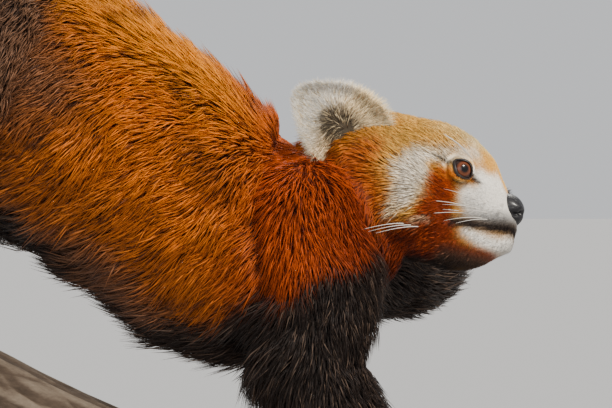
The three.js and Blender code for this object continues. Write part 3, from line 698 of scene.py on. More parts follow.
def head_tones(points, normals):
    """Marks drawn in the side view of the level head, in mm from the eye: x forward, z up."""
    own, count = from_head(points), len(points)
    side = (own - EYE * [1, 0, 1]) @ turned(HEAD_PITCH, 1).T
    ahead, up, wide = side[:, 0], side[:, 2], np.abs(own[:, 1])
    x, z = ahead + 2 * drift(points, 26, 1), up + 2 * drift(points, 26, 2)
    tones = flat_tone(count, HONEY)

    def mark(tone, stroke, strength=1.0, edge=3.0):
        """A stroke whose edge wanders with the drift."""
        lay_tone(tones, tone, near_stroke(x, z, stroke, edge) * strength)

    def line(stroke, mask):
        """A narrow black stroke with a straight edge."""
        lay_tone(tones, BLACK, near_stroke(ahead, up, stroke, 1.2) * mask)

    # Crown, brow and the back of the head; the paler sand on top of the head is painted sunlight.
    lay_tone(tones, SAND, soft(x, -22, 12) * soft(z, 6, 18))
    lay_tone(tones, GOLD, soft(-x, 40, 66) * 0.8)
    lay_tone(tones, RUST, soft(-x + 0.35 * np.maximum(-z - 10, 0), 36, 50) * soft(-z, -20, -6))
    lay_tone(tones, RED, soft(-x, 44, 66) * soft(-z, -8, 10))
    lay_tone(tones, DEEP_RED, soft(-z, 30, 40) * soft(-x, -4, 14))
    # The pale patch over the eye and down the cheek, and the pale muzzle.
    mark(CREAM, [(2, 9, 2), (-8, 8, 3), (-22, 7, 6), (-27, -6, 11), (-31, -20, 8), (-37, -27, 4)], edge=2.5)
    mark(CREAM, [(10, 8, 3), (8, 17, 4)], 0.7)
    mark(WHITE, [(9, 9, 2.5), (-4, 7, 2.5), (-20, 6, 4), (-26, -6, 8), (-30, -19, 4)], 0.6)
    mark(WHITE, [(12, -2, 5), (19, -8, 8), (24, -12, 9)], soft(wide, 4, 9))
    mark(WHITE, [(6, -19, 7), (14, -22, 12), (30, -24, 12), (42, -24, 10)])
    # The tear track, from the eye down to the jaw.
    mark(RED, [(-9, -4, 4), (-10, -12, 7.5), (-13, -27, 9.5), (-12, -42, 9)])
    mark(RUST, [(8, -7.5, 1.5), (0, -7.5, 2.5), (-9, -6, 4)], 0.9, 2)
    mark(DEEP_RED, [(-13, -14, 3), (-14, -34, 8), (-6, -47, 7)], 0.7, 4)
    mark(CREAM, [(-18, -35, 1), (-24, -37, 1.5)], 0.6, 2)
    # Whisker bed, jaw, chin and lips.
    mark(GREY, [(4, -31, 3), (20, -32, 6), (42, -30, 9)], 0.85, 5)
    specks = np.sin(ahead * 1.25) * np.sin(up * 1.45 + ahead * 0.5)
    mark(BLACK, [(12, -22, 4), (36, -26, 9)], soft(specks, 0.70, 0.95) * 0.6)
    mark(RED, [(-8, -50, 5), (8, -55, 6), (26, -58, 6), (38, -56, 3)])
    mark(UMBER, [(-8, -56, 6), (10, -60, 7), (30, -62, 7)], edge=5)
    mark(WHITE, [(4, -41, 2.5), (14, -45, 4), (28, -48, 5), (40, -46, 5)])
    mark(SMOKE, [(-3, -34, 4), (14, -36, 4), (40, -37, 5)], 0.8)
    mark(BLACK, [(-3, -35, 3), (14, -37, 2.4), (40, -39, 2.6)], edge=1.6)
    # Throat, eye socket and the two corners of the eye.
    lay_tone(tones, BLACK, soft(-normals @ head_way([0, 0, 1]), 0.72, 0.95) * soft(-x, -12, 6))
    eye_gap = np.linalg.norm(np.stack([own[:, 0], wide, own[:, 2]], 1) - EYE - EYE_FACING * 3, axis=1)
    lay_tone(tones, BLACK, soft(-eye_gap, -8.6, -7.2))
    line([(5, -3, 2.6), (13, -8, 1.0)], soft(wide, 12, 18))
    line([(-4, 3, 2.2), (-11, 7, 0.6)], soft(wide, 18, 24))
    return tones


def coat_tones(place):
    """Root and tip tone of the hair at each place: layers of masks by part, blended over the parts' shares."""
    points, normals, share = place["points"], place["normals"], place["share"]
    count = len(points)
    x, z = points[:, 0], points[:, 2]
    wave = drift(points, 55, 3)
    above = z - 8 * wave - np.interp(x, DARK_EDGE[0], DARK_EDGE[1])
    lift = (points - place["facts"]["torso"][3]) @ SPINE_UP
    made = {name: flat_tone(count, BLACK) for name in PART_NAMES}
    made |= {"torso": flat_tone(count, RUST), "neck": flat_tone(count, DEEP_RED), "tail": flat_tone(count, RED)}
    made["head"] = head_tones(points, normals)
    shade_patches = drift(points, 46, 5) + 0.5 * drift(points, 19, 6)
    length = place["facts"]["tail"][1] + 5 * wave
    layers = [
        # Painted sunlight: the upward-facing back turns gold.
        ("torso", GOLD, soft(normals @ SPINE_UP, 0.55, 0.95) * 0.75),
        ("torso", RED, soft(x + 10 * wave, 84, 146) * 0.9),
        # Painted shade: random dark patches over the trunk.
        ("torso", SHADED, soft(shade_patches, 0.35, 1.3) * 0.75),
        ("torso", UMBER, soft(-x - 0.3 * (z - 470) + 14 * wave, -40, 18) * soft(z, 430, 480) * 0.75),
        # Painted shade: the flank darkens below the spine.
        ("torso", SHADED, soft(-lift + 9 * wave, -12, 46) * 0.6),
        ("torso", UMBER, soft(-lift + 5 * wave, 30, 56) * 0.8),
        ("torso", BLACK, np.maximum(soft(-lift + 6 * wave, 48, 66), soft(-above, -4, 14))),
        ("neck", RED, soft(-x + 8 * wave, -182, -150)),
        ("neck", BLACK, soft(-above, -6, 14)),
        ("tail", BUFF, soft(np.sin(2 * np.pi * length / TAIL_RING), 0.0, 0.45)),
        ("tail", UMBER, soft(length, *TAIL_UMBER)),
        ("tail", BLACK, soft(length, *TAIL_BLACK)),
    ]
    for leg in ("foreleg_left", "foreleg_right"):
        shoulder = soft(above, -6, 14) * soft(-place["facts"][leg][1], -95, -62)
        layers += [(leg, RED, shoulder), (leg, DEEP_RED, shoulder * soft(x, 150, 185))]
    layers += [(leg, UMBER, soft(z, 430, 490) * 0.9) for leg in ("hindleg_left", "hindleg_right")]
    for name, tone, mask in layers:
        lay_tone(made[name], tone, mask)
    return [sum(made[name][kind] * share[:, [index]] for index, name in enumerate(PART_NAMES)) for kind in (0, 1)]


def lie_and_length(place):
    """Way that the hair lies along the skin, and its length in mm, blended over the parts' shares."""
    points, normals, share, facts = (place[key] for key in ("points", "normals", "share", "facts"))
    count = len(points)
    flank = np.abs(normals @ LEFT)[:, None]
    down = np.array([0, 0, -1.0])
    lies, lengths = np.zeros((count, 3)), np.zeros(count)
    nose_gap = points - in_head(NOSE + [2, 0, 2])
    far = np.linalg.norm(nose_gap, axis=1)
    own = from_head(points)
    for index, name in enumerate(PART_NAMES):
        _, along, way, centre = facts[name]
        outward = unit(points - centre)
        if name == "torso":
            lie, length = 0.8 * BACKWARD + 1.0 * down * flank, 25 + 5 * soft(-(outward @ SPINE_UP), 0, 0.8)
        elif name == "neck":
            lie, length = way + 0.9 * down * flank, 21.0
        elif name == "head":
            lie = unit(nose_gap) + down * (0.55 * soft(-own[:, 0], -24, 20) * soft(-own[:, 2], -14, 14))[:, None]
            length = 2.6 + 7.5 * soft(far, 26, 75) + 10 * soft(far, 70, 125) * soft(-own[:, 2], -44, 2)
        elif name == "tail":
            lie, length = way + 0.12 * down, 33.0
        elif "paw" in name:
            lie, length = np.tile(PAWS[name][1], (count, 1)), 9.0
        else:
            rear = soft(-(outward @ np.array([1.0, 0, 0])), -0.2, 0.9)
            lie = way + rear[:, None] * np.array([-0.5, 0, -0.1])
            length = 17 + 16 * rear * (1.0 if "fore" in name else 0.6)
        lies += unit(lie) * share[:, index : index + 1]
        lengths += length * share[:, index]
    return unit(lies), lengths


print("markings ready")

# %% [markdown]
# ## The finish of the coat
# Skin and tufts carry the same markings as a colour attribute, one tone at each point.
# The tufts' own shapes make the texture, so their finish adds only a fine change of tone.
# The skin adds a bump of short streaks, which shows where the tufts part.

# %% Coat and skin finishes
def coat_finish(name, roughness, streaks=False):
    """Base colour = coat attribute * (0.62 + 0.42 * broad noise + 0.34 * fine noise)."""
    material, tone = new_finish(name)
    where = place_of(tone)
    value = 0.62 + noise(tone, where, 42.0, 3.0) * 0.42 + noise(tone, where, 420.0, 2.0) * 0.34
    sockets = {0: attribute(tone, "coat"), "Scale": value}
    shade = tone.node("ShaderNodeVectorMath", {"operation": "SCALE"}, sockets)
    sockets = {"Base Color": shade, "Roughness": roughness, "Specular IOR Level": 0.12}
    sockets |= {"Sheen Weight": 0.04, "Sheen Roughness": 0.5}
    if streaks:
        height = noise(tone, where, 700.0, 3.0, stretch=(0.35, 1.0, 0.6))
        sockets["Normal"] = bump(tone, height, 0.7, 1.2)
    close_finish(tone, sockets)
    return material


FURS = {"rust_fur": 0.55, "face_fur": 0.62, "dark_fur": 0.48, "tail_fur": 0.58, "ear_fur": 0.6}
COATS = {name: coat_finish(name, roughness) for name, roughness in FURS.items()}
skin_finish = coat_finish("skin_under_fur", 0.7, True)
print("coat finishes", list(COATS))

# %% [markdown]
# ## The markings on the skin
# The remeshed skin is read back as arrays, and each of its points gets its share of every part.
# It takes the same tones as the hair, but darker: it stands for the shaded depth of the coat.

# %% Colour the skin
def read_skin(piece):
    """Points (mm), normals and triangles of a mesh, as arrays."""
    mesh = piece.data
    points, normals = np.empty((2, len(mesh.vertices) * 3), np.float32)
    mesh.vertices.foreach_get("co", points)
    mesh.vertices.foreach_get("normal", normals)
    mesh.calc_loop_triangles()
    triangles = np.empty(len(mesh.loop_triangles) * 3, np.int32)
    mesh.loop_triangles.foreach_get("vertices", triangles)
    return points.reshape(-1, 3) / MM, normals.reshape(-1, 3).astype(float), triangles.reshape(-1, 3)


def paint(piece, colours):
    """Writes one linear colour a point into the attribute that the finishes read."""
    layer = piece.data.color_attributes.new("coat", "FLOAT_COLOR", "POINT")
    rgba = np.ones((len(colours), 4), np.float32)
    rgba[:, :3] = colours
    layer.data.foreach_set("color", rgba.ravel())


skin_points, skin_normals, skin_triangles = read_skin(skin)
skin_place = study(skin_points, skin_normals)
skin_root, skin_tip = coat_tones(skin_place)
paint(skin, skin_root * 0.7 + skin_tip * 0.25)
FLESH = [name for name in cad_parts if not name.startswith(("ear", "eye", "nose", "perch", "stand"))]
dress(skin, skin_finish, "rust_coat", *FLESH)
print("skin stands for", len(FLESH), "nodes")

# %% [markdown]
# ## Tufts
# Real fur could be grown as single strands, but an exported model needs solid shapes that can be printed.
# So a tuft stands for a small bundle of hairs: narrow at the root and pointed at the tip.
# Long tufts have a bend, with a ridge on top: six points and eight triangles.
# Short tufts on face and feet are plain spikes: four points and four triangles.
# Each lies along the coat's way, rises a little, and leans towards its neighbours, so that they clump.

# %% Tuft shapes
BENT = np.array([(0, 1, 4), (0, 4, 3), (1, 2, 4), (3, 4, 5), (4, 2, 5), (0, 3, 2), (0, 2, 1), (3, 5, 2)])
SPIKE = np.array([(0, 1, 2), (0, 3, 1), (0, 2, 3), (1, 3, 2)])
BENT_PATCH = [(-1, -1), (1, -1), (1, 0), (-1, 0), (0, 0), (0, 1)]
SPIKE_PATCH = [(-1, -1), (1, -1), (0, -0.6), (0, 1)]
PATCH_HALF = 0.0015
CELL_WAYS = np.array([[12.99, 78.23, 37.72], [39.35, 11.14, 83.16], [73.16, 52.24, 9.15]])


def square_to(vectors, way):
    """The part of each vector that is square to the way beside it."""
    return vectors - way * (vectors * way).sum(1, keepdims=True)


def grow_tufts(name, roots, normals, lies, lengths, widths, rises, tones, spots, bent, clump=7.0, lean=0.35):
    """Root, middle and tip = root + lie * share of length + normal * rise; tips lean to a jittered cell's middle."""
    count = len(roots)
    lies = unit(square_to(lies, normals))
    sway = 0.28 * drift(roots, 34, 11) + draw.normal(0, 0.16, count)
    lies = unit(lies + np.cross(normals, lies) * sway[:, None])
    side = np.cross(normals, lies)
    lengths = lengths * draw.uniform(0.72, 1.18, count)
    widths = widths * draw.uniform(0.75, 1.25, count)
    cell = np.floor(roots / clump + 0.35 * drift(roots, 21, 12)[:, None])
    to_cell = (cell + 0.5 + np.sin(cell @ CELL_WAYS) * 0.35) * clump - roots
    to_cell = square_to(square_to(to_cell, normals), lies)
    rise = (rises * draw.uniform(0.6, 1.4, count) * (1 + 0.35 * drift(roots, 30, 13)))[:, None] * lengths[:, None]
    curl = side * (draw.normal(0, 0.07, count) * lengths)[:, None]
    reach, half = lies * lengths[:, None], side * (widths * 0.5)[:, None]
    base = roots - normals * 0.8
    middle = roots + reach * 0.5 + normals * rise * 0.62 + to_cell * lean * 0.55 + curl * 0.3
    tip = roots + reach + normals * rise * 0.85 + to_cell * lean + curl
    ridge = normals * (widths * 0.42)[:, None]
    if bent:
        corners = [base + half * 0.7, base - half * 0.7, middle - half, middle + half, middle + ridge, tip]
        depth, faces, patch = np.array([0, 0, 0.55, 0.55, 0.62, 1.0]), BENT, BENT_PATCH
    else:
        corners = [base + half, base - half, base + ridge * 1.4 - reach * 0.06, tip]
        depth, faces, patch = np.array([0.15, 0.15, 0.25, 1.0]), SPIKE, SPIKE_PATCH
    points = np.stack(corners, 1)
    starts = (np.arange(count) * len(corners))[:, None, None]
    piece = put_mesh(name, points.reshape(-1, 3), [(faces + starts).reshape(-1, 3)])
    glow = draw.uniform(0.72, 1.22, count)[:, None, None]
    colours = tones[0][:, None] + (tones[1] - tones[0])[:, None] * depth[None, :, None]
    paint(piece, (colours * glow).reshape(-1, 3))
    layer = piece.data.uv_layers.new(name="OFBake")
    at = (spots[:, None] + np.array(patch) * PATCH_HALF)[:, faces.ravel()]
    layer.data.foreach_set("uv", at.astype(np.float32).ravel())
    return piece


def scatter(triangles, weights, count):
    """Places spread by area * weight: even steps along the running sum, one draw in each step."""
    a, b, c = (skin_points[triangles[:, k]] for k in range(3))
    area = np.linalg.norm(np.cross(b - a, c - a), axis=1) * weights
    total = np.cumsum(area)
    step = (np.arange(count) + draw.uniform(0, 1, count)) * total[-1] / count
    index = np.minimum(np.searchsorted(total, step), len(total) - 1)
    u, v = draw.uniform(0, 1, (2, count))
    over = u + v > 1
    u, v = np.where(over, 1 - u, u), np.where(over, 1 - v, v)
    shares = np.stack([1 - u - v, u, v], 1)
    rows = triangles[index]
    roots = (skin_points[rows] * shares[..., None]).sum(1)
    return roots, unit((skin_normals[rows] * shares[..., None]).sum(1))


def unwrap_spots(place, names):
    """u = length along the part's line, v = angle round it, both in the unit square, one strip a part."""
    spots = np.zeros((len(place["points"]), 2))
    for strip, name in enumerate(names):
        _, along, way, centre = place["facts"][name]
        here = place["nearest"] == PART_NAMES.index(name)
        out = place["points"] - centre
        side = unit(np.cross(way, [0.3, 0.1, 1.0]))
        angle = np.arctan2((out * np.cross(way, side)).sum(1), (out * side).sum(1)) / (2 * np.pi) + 0.5
        height = along + 0.4 * (out * way).sum(1)
        if here.any():
            low, high = height[here].min(), height[here].max()
            own = np.stack([(height - low) / max(high - low, 1e-6), (strip + angle) / len(names)], 1)
            spots[here] = (own * 0.98 + 0.01)[here]
    return spots


def inside_branch(points):
    """True where a point is nearer to the branch's axis than its bark."""
    axis = BRANCH_AXIS + ((points - BRANCH_TOP) @ BRANCH_ALONG)[:, None] * BRANCH_ALONG
    return np.linalg.norm(points - axis, axis=1) < branch_radius(axis[:, 0])


triangle_middles = skin_points[skin_triangles].mean(1)
triangle_place = study(triangle_middles, unit(skin_normals[skin_triangles].sum(1)))
print("skin triangles", len(skin_triangles))

# %% [markdown]
# ## The coat, piece by piece
# The coat is split by the part it grows on, so that no piece is too heavy for a print file.
# More and finer tufts go where the real hair is short, as on the face and the feet.
# Hairs that would stand in an eye, in the nose or in the branch are left out.

# %% Coat pieces
COAT_SHARE, TUFT_SCALE = ((1.0, 1.0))
COAT_PIECES = [
    # name, parts, side (1 left, -1 right, 0 both), triangles, bent, width mm, rise, finish, slot
    ("face_coat", ["head"], 0, 150000, False, 0.62, 0.26, "face_fur", "face_coat"),
    ("cheek_coat", ["head"], 0, 130000, True, 0.78, 0.30, "face_fur", "face_coat"),
    ("neck_coat", ["neck"], 0, 120000, True, 0.95, 0.36, "rust_fur", "rust_coat"),
    ("flank_coat_right", ["torso"], -1, 196000, True, 1.0, 0.38, "rust_fur", "rust_coat"),
    ("flank_coat_left", ["torso"], 1, 196000, True, 1.0, 0.38, "rust_fur", "rust_coat"),
    ("foreleg_coat", ["foreleg_right", "foreleg_left"], 0, 186000, True, 0.95, 0.34, "dark_fur", "dark_coat"),
    ("hindleg_coat", ["hindleg_right", "hindleg_left"], 0, 166000, True, 1.05, 0.34, "dark_fur", "dark_coat"),
    ("paw_coat", list(PAWS), 0, 76000, False, 0.85, 0.24, "dark_fur", "dark_coat"),
    ("tail_coat", ["tail"], 0, 170000, True, 1.5, 0.30, "tail_fur", "tail_coat"),
]


def clear_of_face(points):
    """True where a point is outside the eyeballs and the nose leather; the head is mirrored onto one side."""
    own = from_head(points)
    own[:, 1] = np.abs(own[:, 1])
    eye_clear = np.linalg.norm(own - EYE, axis=1) > EYE_RADIUS + 1.6
    return eye_clear & (np.linalg.norm((own - NOSE) / (NOSE_HALF + 0.6), axis=1) > 1)


def mixed_tips(tones):
    """Smoky tips on a sixth of the dark hairs, and dark tips on an eighth of the coloured ones."""
    count = len(tones[0])
    dark = tones[1].sum(1) < 0.12
    smoky = (draw.uniform(0, 1, count) < 0.16) & dark
    tips = np.where(smoky[:, None], np.array(SMOKE[1]), tones[1])
    ticked = (draw.uniform(0, 1, count) < 0.12) & ~dark & (tips.sum(1) < 1.25)
    return [tones[0], np.where(ticked[:, None], tones[0] * 1.3, tips)]


def coat_piece(name, parts, sign, budget, bent, width, rise, finish, slot):
    """Scatters roots over the parts' skin, drops those in the way, and grows a tuft from each of the rest."""
    wanted = np.isin(triangle_place["nearest"], [PART_NAMES.index(part) for part in parts])
    if sign:
        wanted &= triangle_middles[:, 1] * sign > 0
    far = np.linalg.norm(triangle_middles[wanted] - in_head(NOSE), axis=1)
    density = {
        "face_coat": 0.8 + 2.6 * soft(-far, -85, -30),
        "cheek_coat": 0.001 + soft(far, 44, 74),
    }.get(name, np.ones(len(far)))
    roots, normals = scatter(skin_triangles[wanted], density, int(budget * COAT_SHARE) // (8 if bent else 4))
    lies, lengths = lie_and_length(study(roots, normals))
    keep = ~inside_branch(roots + lies * lengths[:, None] * 0.6) & clear_of_face(roots)
    widths = width * (0.6 + 0.4 * lengths[keep] / max(lengths.max(), 1)) * TUFT_SCALE
    place = study(roots[keep], normals[keep])
    tones = mixed_tips(coat_tones(place))
    clump = 3.0 if finish == "face_fur" else 6.5
    piece = grow_tufts(name, roots[keep], normals[keep], lies[keep], lengths[keep], widths, rise, tones,
                       unwrap_spots(place, parts), bent, clump)
    dress(piece, COATS[finish], slot)
    print(name, len(piece.data.polygons), "triangles")


for row in COAT_PIECES:
    coat_piece(*row)

# %% [markdown]
# ## The eyes
# The eye is a dark amber ball with a round pupil, and a wet clear front that bulges a little.
# One closed surface is enough: its angle from the line of sight picks pupil, iris and rim.
# A clear coat gives the wet shine, so no glass is needed over it.

# %% Eyes
def round_axes(way, hint):
    """Three right-handed axes as columns: the way, the hint squared to it, and their cross."""
    way = unit(way)
    second = unit(np.asarray(hint, float) - way * (way @ np.asarray(hint, float)))
    return np.stack([way, second, np.cross(way, second)], -1)


def eye_frame(sign):
    """Middle of the eye; its axes: the way that it faces, then from its outer to its inner corner."""
    mirror = [1, sign, 1]
    return in_head(EYE * mirror), round_axes(head_way(EYE_FACING * mirror), head_way([0.80, 0, -0.48]))


def value_layer(piece, name, values):
    """Writes one plain number a point into an attribute."""
    layer = piece.data.attributes.new(name, "FLOAT", "POINT")
    layer.data.foreach_set("value", np.asarray(values, np.float32))


def eye_ball(sign):
    """Sphere radius + a clear front of 0.5 mm that fades out at 0.75 rad from the line of sight."""
    middle, axes = eye_frame(sign)
    radius = EYE_RADIUS + 0.5 * soft(np.linspace(POLE, np.pi - POLE, 56), np.pi - 0.75, np.pi - 0.25)
    points, faces = closed_tube(middle + (unit_ball(56, 56) * radius[:, None, None]) @ axes.T)
    piece = put_mesh(sided("eyeball", sign), points, faces)
    value_layer(piece, "gaze", np.arccos(np.clip(unit(points - middle) @ axes[:, 0], -1, 1)))
    return piece


IRIS = [
    # angle from the line of sight in rad, tone: pupil, iris, dark outer ring, white of the eye
    (0.0, (0.001, 0.001, 0.001)), (0.25, (0.002, 0.001, 0.001)), (0.29, (0.05, 0.013, 0.004)),
    (0.45, (0.15, 0.040, 0.012)), (0.58, (0.09, 0.022, 0.007)), (0.68, (0.015, 0.006, 0.004)),
    (1.0, (0.04, 0.02, 0.015)),
]
eye_finish, tone = new_finish("amber_eye")
grain = noise(tone, place_of(tone), 1500.0, 4.0, 0.6)
sockets = {"Fac": attribute(tone, "gaze", 2) + grain * 0.10 - 0.05}
sockets = {"Base Color": tone.node("ShaderNodeValToRGB", {"stops": IRIS}, sockets), "Roughness": 0.2}
close_finish(tone, sockets | {"Coat Weight": 0.4, "Coat Roughness": 0.03, "Specular IOR Level": 0.2})
for sign in (1, -1):
    dress(eye_ball(sign), eye_finish, "eye", sided("eye", sign))
print("eyes", EYE_RADIUS, "mm in radius")

# %% [markdown]
# ## The lids
# Bare dark skin rims the eye and runs to a point at both corners.
# It is a ring with a closed section: it touches the ball at its edge and sinks under the fur outside.

# %% Lids
LID_OUT = np.array([0.03, 0.0, 0.03, 0.10, 0.22, 0.40, 0.62, 0.85, 0.85, 0.45, 0.12])
LID_RADII = np.array([8.75, 9.0, 9.35, 9.5, 9.3, 8.7, 8.0, 7.2, 6.6, 7.6, 8.3])
LID_COLUMNS, LID_OFF = 72, 3.0


def lids(sign):
    """Edge angle = superellipse with pointed corners; the section runs out over the ball and back under itself."""
    middle, axes = eye_frame(sign)
    turn = circle(LID_COLUMNS).T
    edge = (np.abs(np.cos(turn) / 0.95) ** 1.35 + np.abs(np.sin(turn) / 0.58) ** 1.35) ** (-1 / 1.35)
    radius = LID_RADII[None, :] + 0.5 * soft(-edge, -0.8, -0.4)
    polar = edge + LID_OUT[None, :]
    flat = np.sin(polar) * radius
    local = np.stack([np.cos(polar) * radius, flat * np.cos(turn), flat * np.sin(turn)], -1)
    points = (middle + local @ axes.T).reshape(-1, 3)
    piece = put_mesh(sided("lids", sign), points, [grid_faces(LID_COLUMNS, len(LID_OUT), True)])
    value_layer(piece, "bare", np.tile(soft(-LID_OUT, -0.42, -0.24), LID_COLUMNS))
    normals = unit(points - middle)
    tones = coat_tones(study(points + normals * LID_OFF, normals))
    # Darker than the hair's tones, as on the skin: painted shade of the coat's depth.
    paint(piece, tones[0] * 0.5 + tones[1] * 0.4)
    hairy = np.tile((LID_OUT > 0.3) & (LID_RADII > 7.6), LID_COLUMNS)
    spots = np.stack([turn / (2 * np.pi) + 0 * polar, polar / 2.0], -1).reshape(-1, 2)
    return piece, points[hairy], normals[hairy], spots[hairy] * 0.98 + 0.01


def lid_hair(name, points, normals, spots, count):
    """Short spikes on the outer part of the lids: roots = ring points moved by up to a grid step."""
    pick = draw.integers(0, len(points), count)
    roots, normals = points[pick] + draw.normal(0, 0.35, (count, 3)), normals[pick]
    place = study(roots + normals * LID_OFF, normals)
    lies, _ = lie_and_length(place)
    lengths, widths = np.full(count, 4.0), np.full(count, 0.55)
    return grow_tufts(name, roots - normals * 0.3, normals, lies, lengths, widths, 0.30,
                      coat_tones(place), spots[pick], False, 3.0)


dark_skin, tone = new_finish("dark_bare_skin")
creases = noise(tone, place_of(tone), 900.0, 4.0)
bare_tone = creases.blend((0.006, 0.004, 0.004), (0.022, 0.014, 0.011))
lid_tone = attribute(tone, "bare", 2).blend(attribute(tone, "coat"), bare_tone)
close_finish(tone, {"Base Color": lid_tone, "Roughness": 0.42, "Normal": bump(tone, creases, 0.4, 0.3)})
for sign in (1, -1):
    rim, *hairy_part = lids(sign)
    dress(rim, dark_skin, "face_coat")
    dress(lid_hair(sided("lid_coat", sign), *hairy_part, int(3000 * COAT_SHARE)), COATS["face_fur"], "face_coat")
print("lids ringed")

# %% [markdown]
# ## The nose
# The nose leather is black, wet and finely pebbled, with a comma-shaped nostril on each side.
# A groove runs down its middle. Pits and groove are pressed into a ball with smooth dips.

# %% Nose
def dip(local, spot, size):
    """1 at the spot of the unit ball, falling off with the square of the distance over size."""
    return np.exp(-(((local - np.array(spot)) / np.array(size)) ** 2).sum(-1))


def nose_leather():
    """Unit ball * (1 - dips) * the nose's half sizes, and wider towards the top."""
    local = unit_ball(72, 96)
    depth = np.zeros(local.shape[:2])
    for sign in (1, -1):
        depth += 0.30 * dip(local, (0.86, 0.40 * sign, 0.02), (0.3, 0.19, 0.15))
        depth += 0.22 * dip(local, (0.62, 0.72 * sign, -0.12), (0.3, 0.24, 0.11))
        depth -= 0.07 * dip(local, (0.72, 0.60 * sign, 0.30), (0.3, 0.3, 0.22))
    depth += 0.09 * dip(local, (0.85, 0, -0.45), (0.5, 0.07, 0.5))
    depth += 0.05 * dip(local, (0.98, 0, 0.1), (0.3, 0.12, 0.4))
    shape = local * (1 - depth)[..., None] * NOSE_HALF * [1, 0.88, 1]
    shape[..., 1] *= 1 + 0.14 * local[..., 2]
    return put_mesh("nose_leather", *closed_tube(in_head(NOSE + shape)))


nose_finish, tone = new_finish("wet_nose_leather")
sockets = {"Vector": place_of(tone), "Scale": 1300.0}
pebbles = tone.node("ShaderNodeTexVoronoi", {"feature": "DISTANCE_TO_EDGE"}, sockets)
height = tone.node("ShaderNodeMath", {"operation": "MINIMUM"}, {0: pebbles, 1: 0.25})
sockets = {"Base Color": (0.005, 0.004, 0.005), "Roughness": 0.38, "Specular IOR Level": 0.3}
sockets |= {"Coat Weight": 0.25, "Coat Roughness": 0.2, "Normal": bump(tone, height, 0.55, 0.5)}
close_finish(tone, sockets)
leather = dress(nose_leather(), nose_finish, "nose_leather", "nose")
print("nose", len(leather.data.polygons), "faces")

# %% [markdown]
# ## The ears
# The ears are large and leaf-shaped, set low and wide, and they open forward and outward.
# A thin closed shell makes each ear: its front is hollow, its back is round.
# White hair fringes the edge and hides it; short black hair lines the hollow.

# %% Ear shells
EAR_ROOT = np.array([-38.0, 36, 22.5])
EAR_WAY, EAR_FACING = np.array([-0.72, 0.6, 0.35]), np.array([0.38, 0.90, -0.16])
EAR_SEAT, EAR_LONG, EAR_WIDE = 26.0, 31.0, 23.0
EAR_SIDE_RINGS, EAR_COLUMNS = 16, 48


def ear_frame(sign):
    """Middle of the ear, and its axes as columns: towards the tip, across it, and the way it opens."""
    mirror = np.array([1.0, sign, 1.0])
    way, facing = unit(head_way(EAR_WAY * mirror)), head_way(EAR_FACING * mirror)
    facing = unit(facing - way * (way @ facing))
    return in_head(EAR_ROOT * mirror) + way * EAR_SEAT, np.stack([way, np.cross(facing, way), facing], -1)


def ear_point(turn, share, back):
    """Leaf outline * share of the way to the edge; the front hollows by 3 mm and the back swells by 11 mm."""
    taper = 1 - 0.30 * np.cos(turn)
    flat = np.stack([np.cos(turn) * EAR_LONG, np.sin(turn) * EAR_WIDE * taper], -1) * share[..., None]
    hollow = 1 - share**2
    height = np.where(back, -11.0 * hollow - 0.8, -3.2 * hollow**0.8 + 0.8) + 2.0 * np.sin(turn) ** 2 * share**2
    return np.concatenate([flat, height[..., None]], -1)


def ear_shell(sign):
    """Rings run out over the back of the leaf to its edge, and in again over its front."""
    centre, axes = ear_frame(sign)
    outwards = np.linspace(0.03, 1, EAR_SIDE_RINGS)
    share = np.concatenate([outwards, outwards[::-1]])[:, None]
    back = (np.arange(len(share)) < EAR_SIDE_RINGS)[:, None]
    turn = circle(EAR_COLUMNS)
    local = ear_point(turn + 0 * share, share + 0 * turn, back)
    piece = put_mesh(sided("ear_shell", sign), *closed_tube(centre + local @ axes.T))
    tones = ear_tones(local[..., :2].reshape(-1, 2), np.repeat(back, EAR_COLUMNS))
    # Darker than the hair's tones, as on the skin: painted shade of the coat's depth.
    colours = tones[0] * 0.6 + tones[1] * 0.3
    paint(piece, np.concatenate([colours, colours[:1], colours[-1:]]))
    return piece


def ear_tones(flat, back):
    """Black in the hollow, cream to the edge; red-brown behind, with a pale edge."""
    share = np.linalg.norm(flat / [EAR_LONG, EAR_WIDE], axis=1)
    tones = flat_tone(len(flat), CREAM)
    lay_tone(tones, WHITE, soft(flat[:, 0], -6, 10) * 0.9)
    middle = np.linalg.norm((flat - [-6.0, 0.0]) / [14.0, 9.5], axis=1)
    lay_tone(tones, EAR_DARK, soft(-middle, -1.15, -0.7) * ~back)
    lay_tone(tones, DEEP_RED, soft(-share, -0.72, -0.5) * back)
    return tones


for sign in (1, -1):
    dress(ear_shell(sign), skin_finish, "ear_coat", sided("ear", sign))
print("ear shells", EAR_LONG, EAR_WIDE)

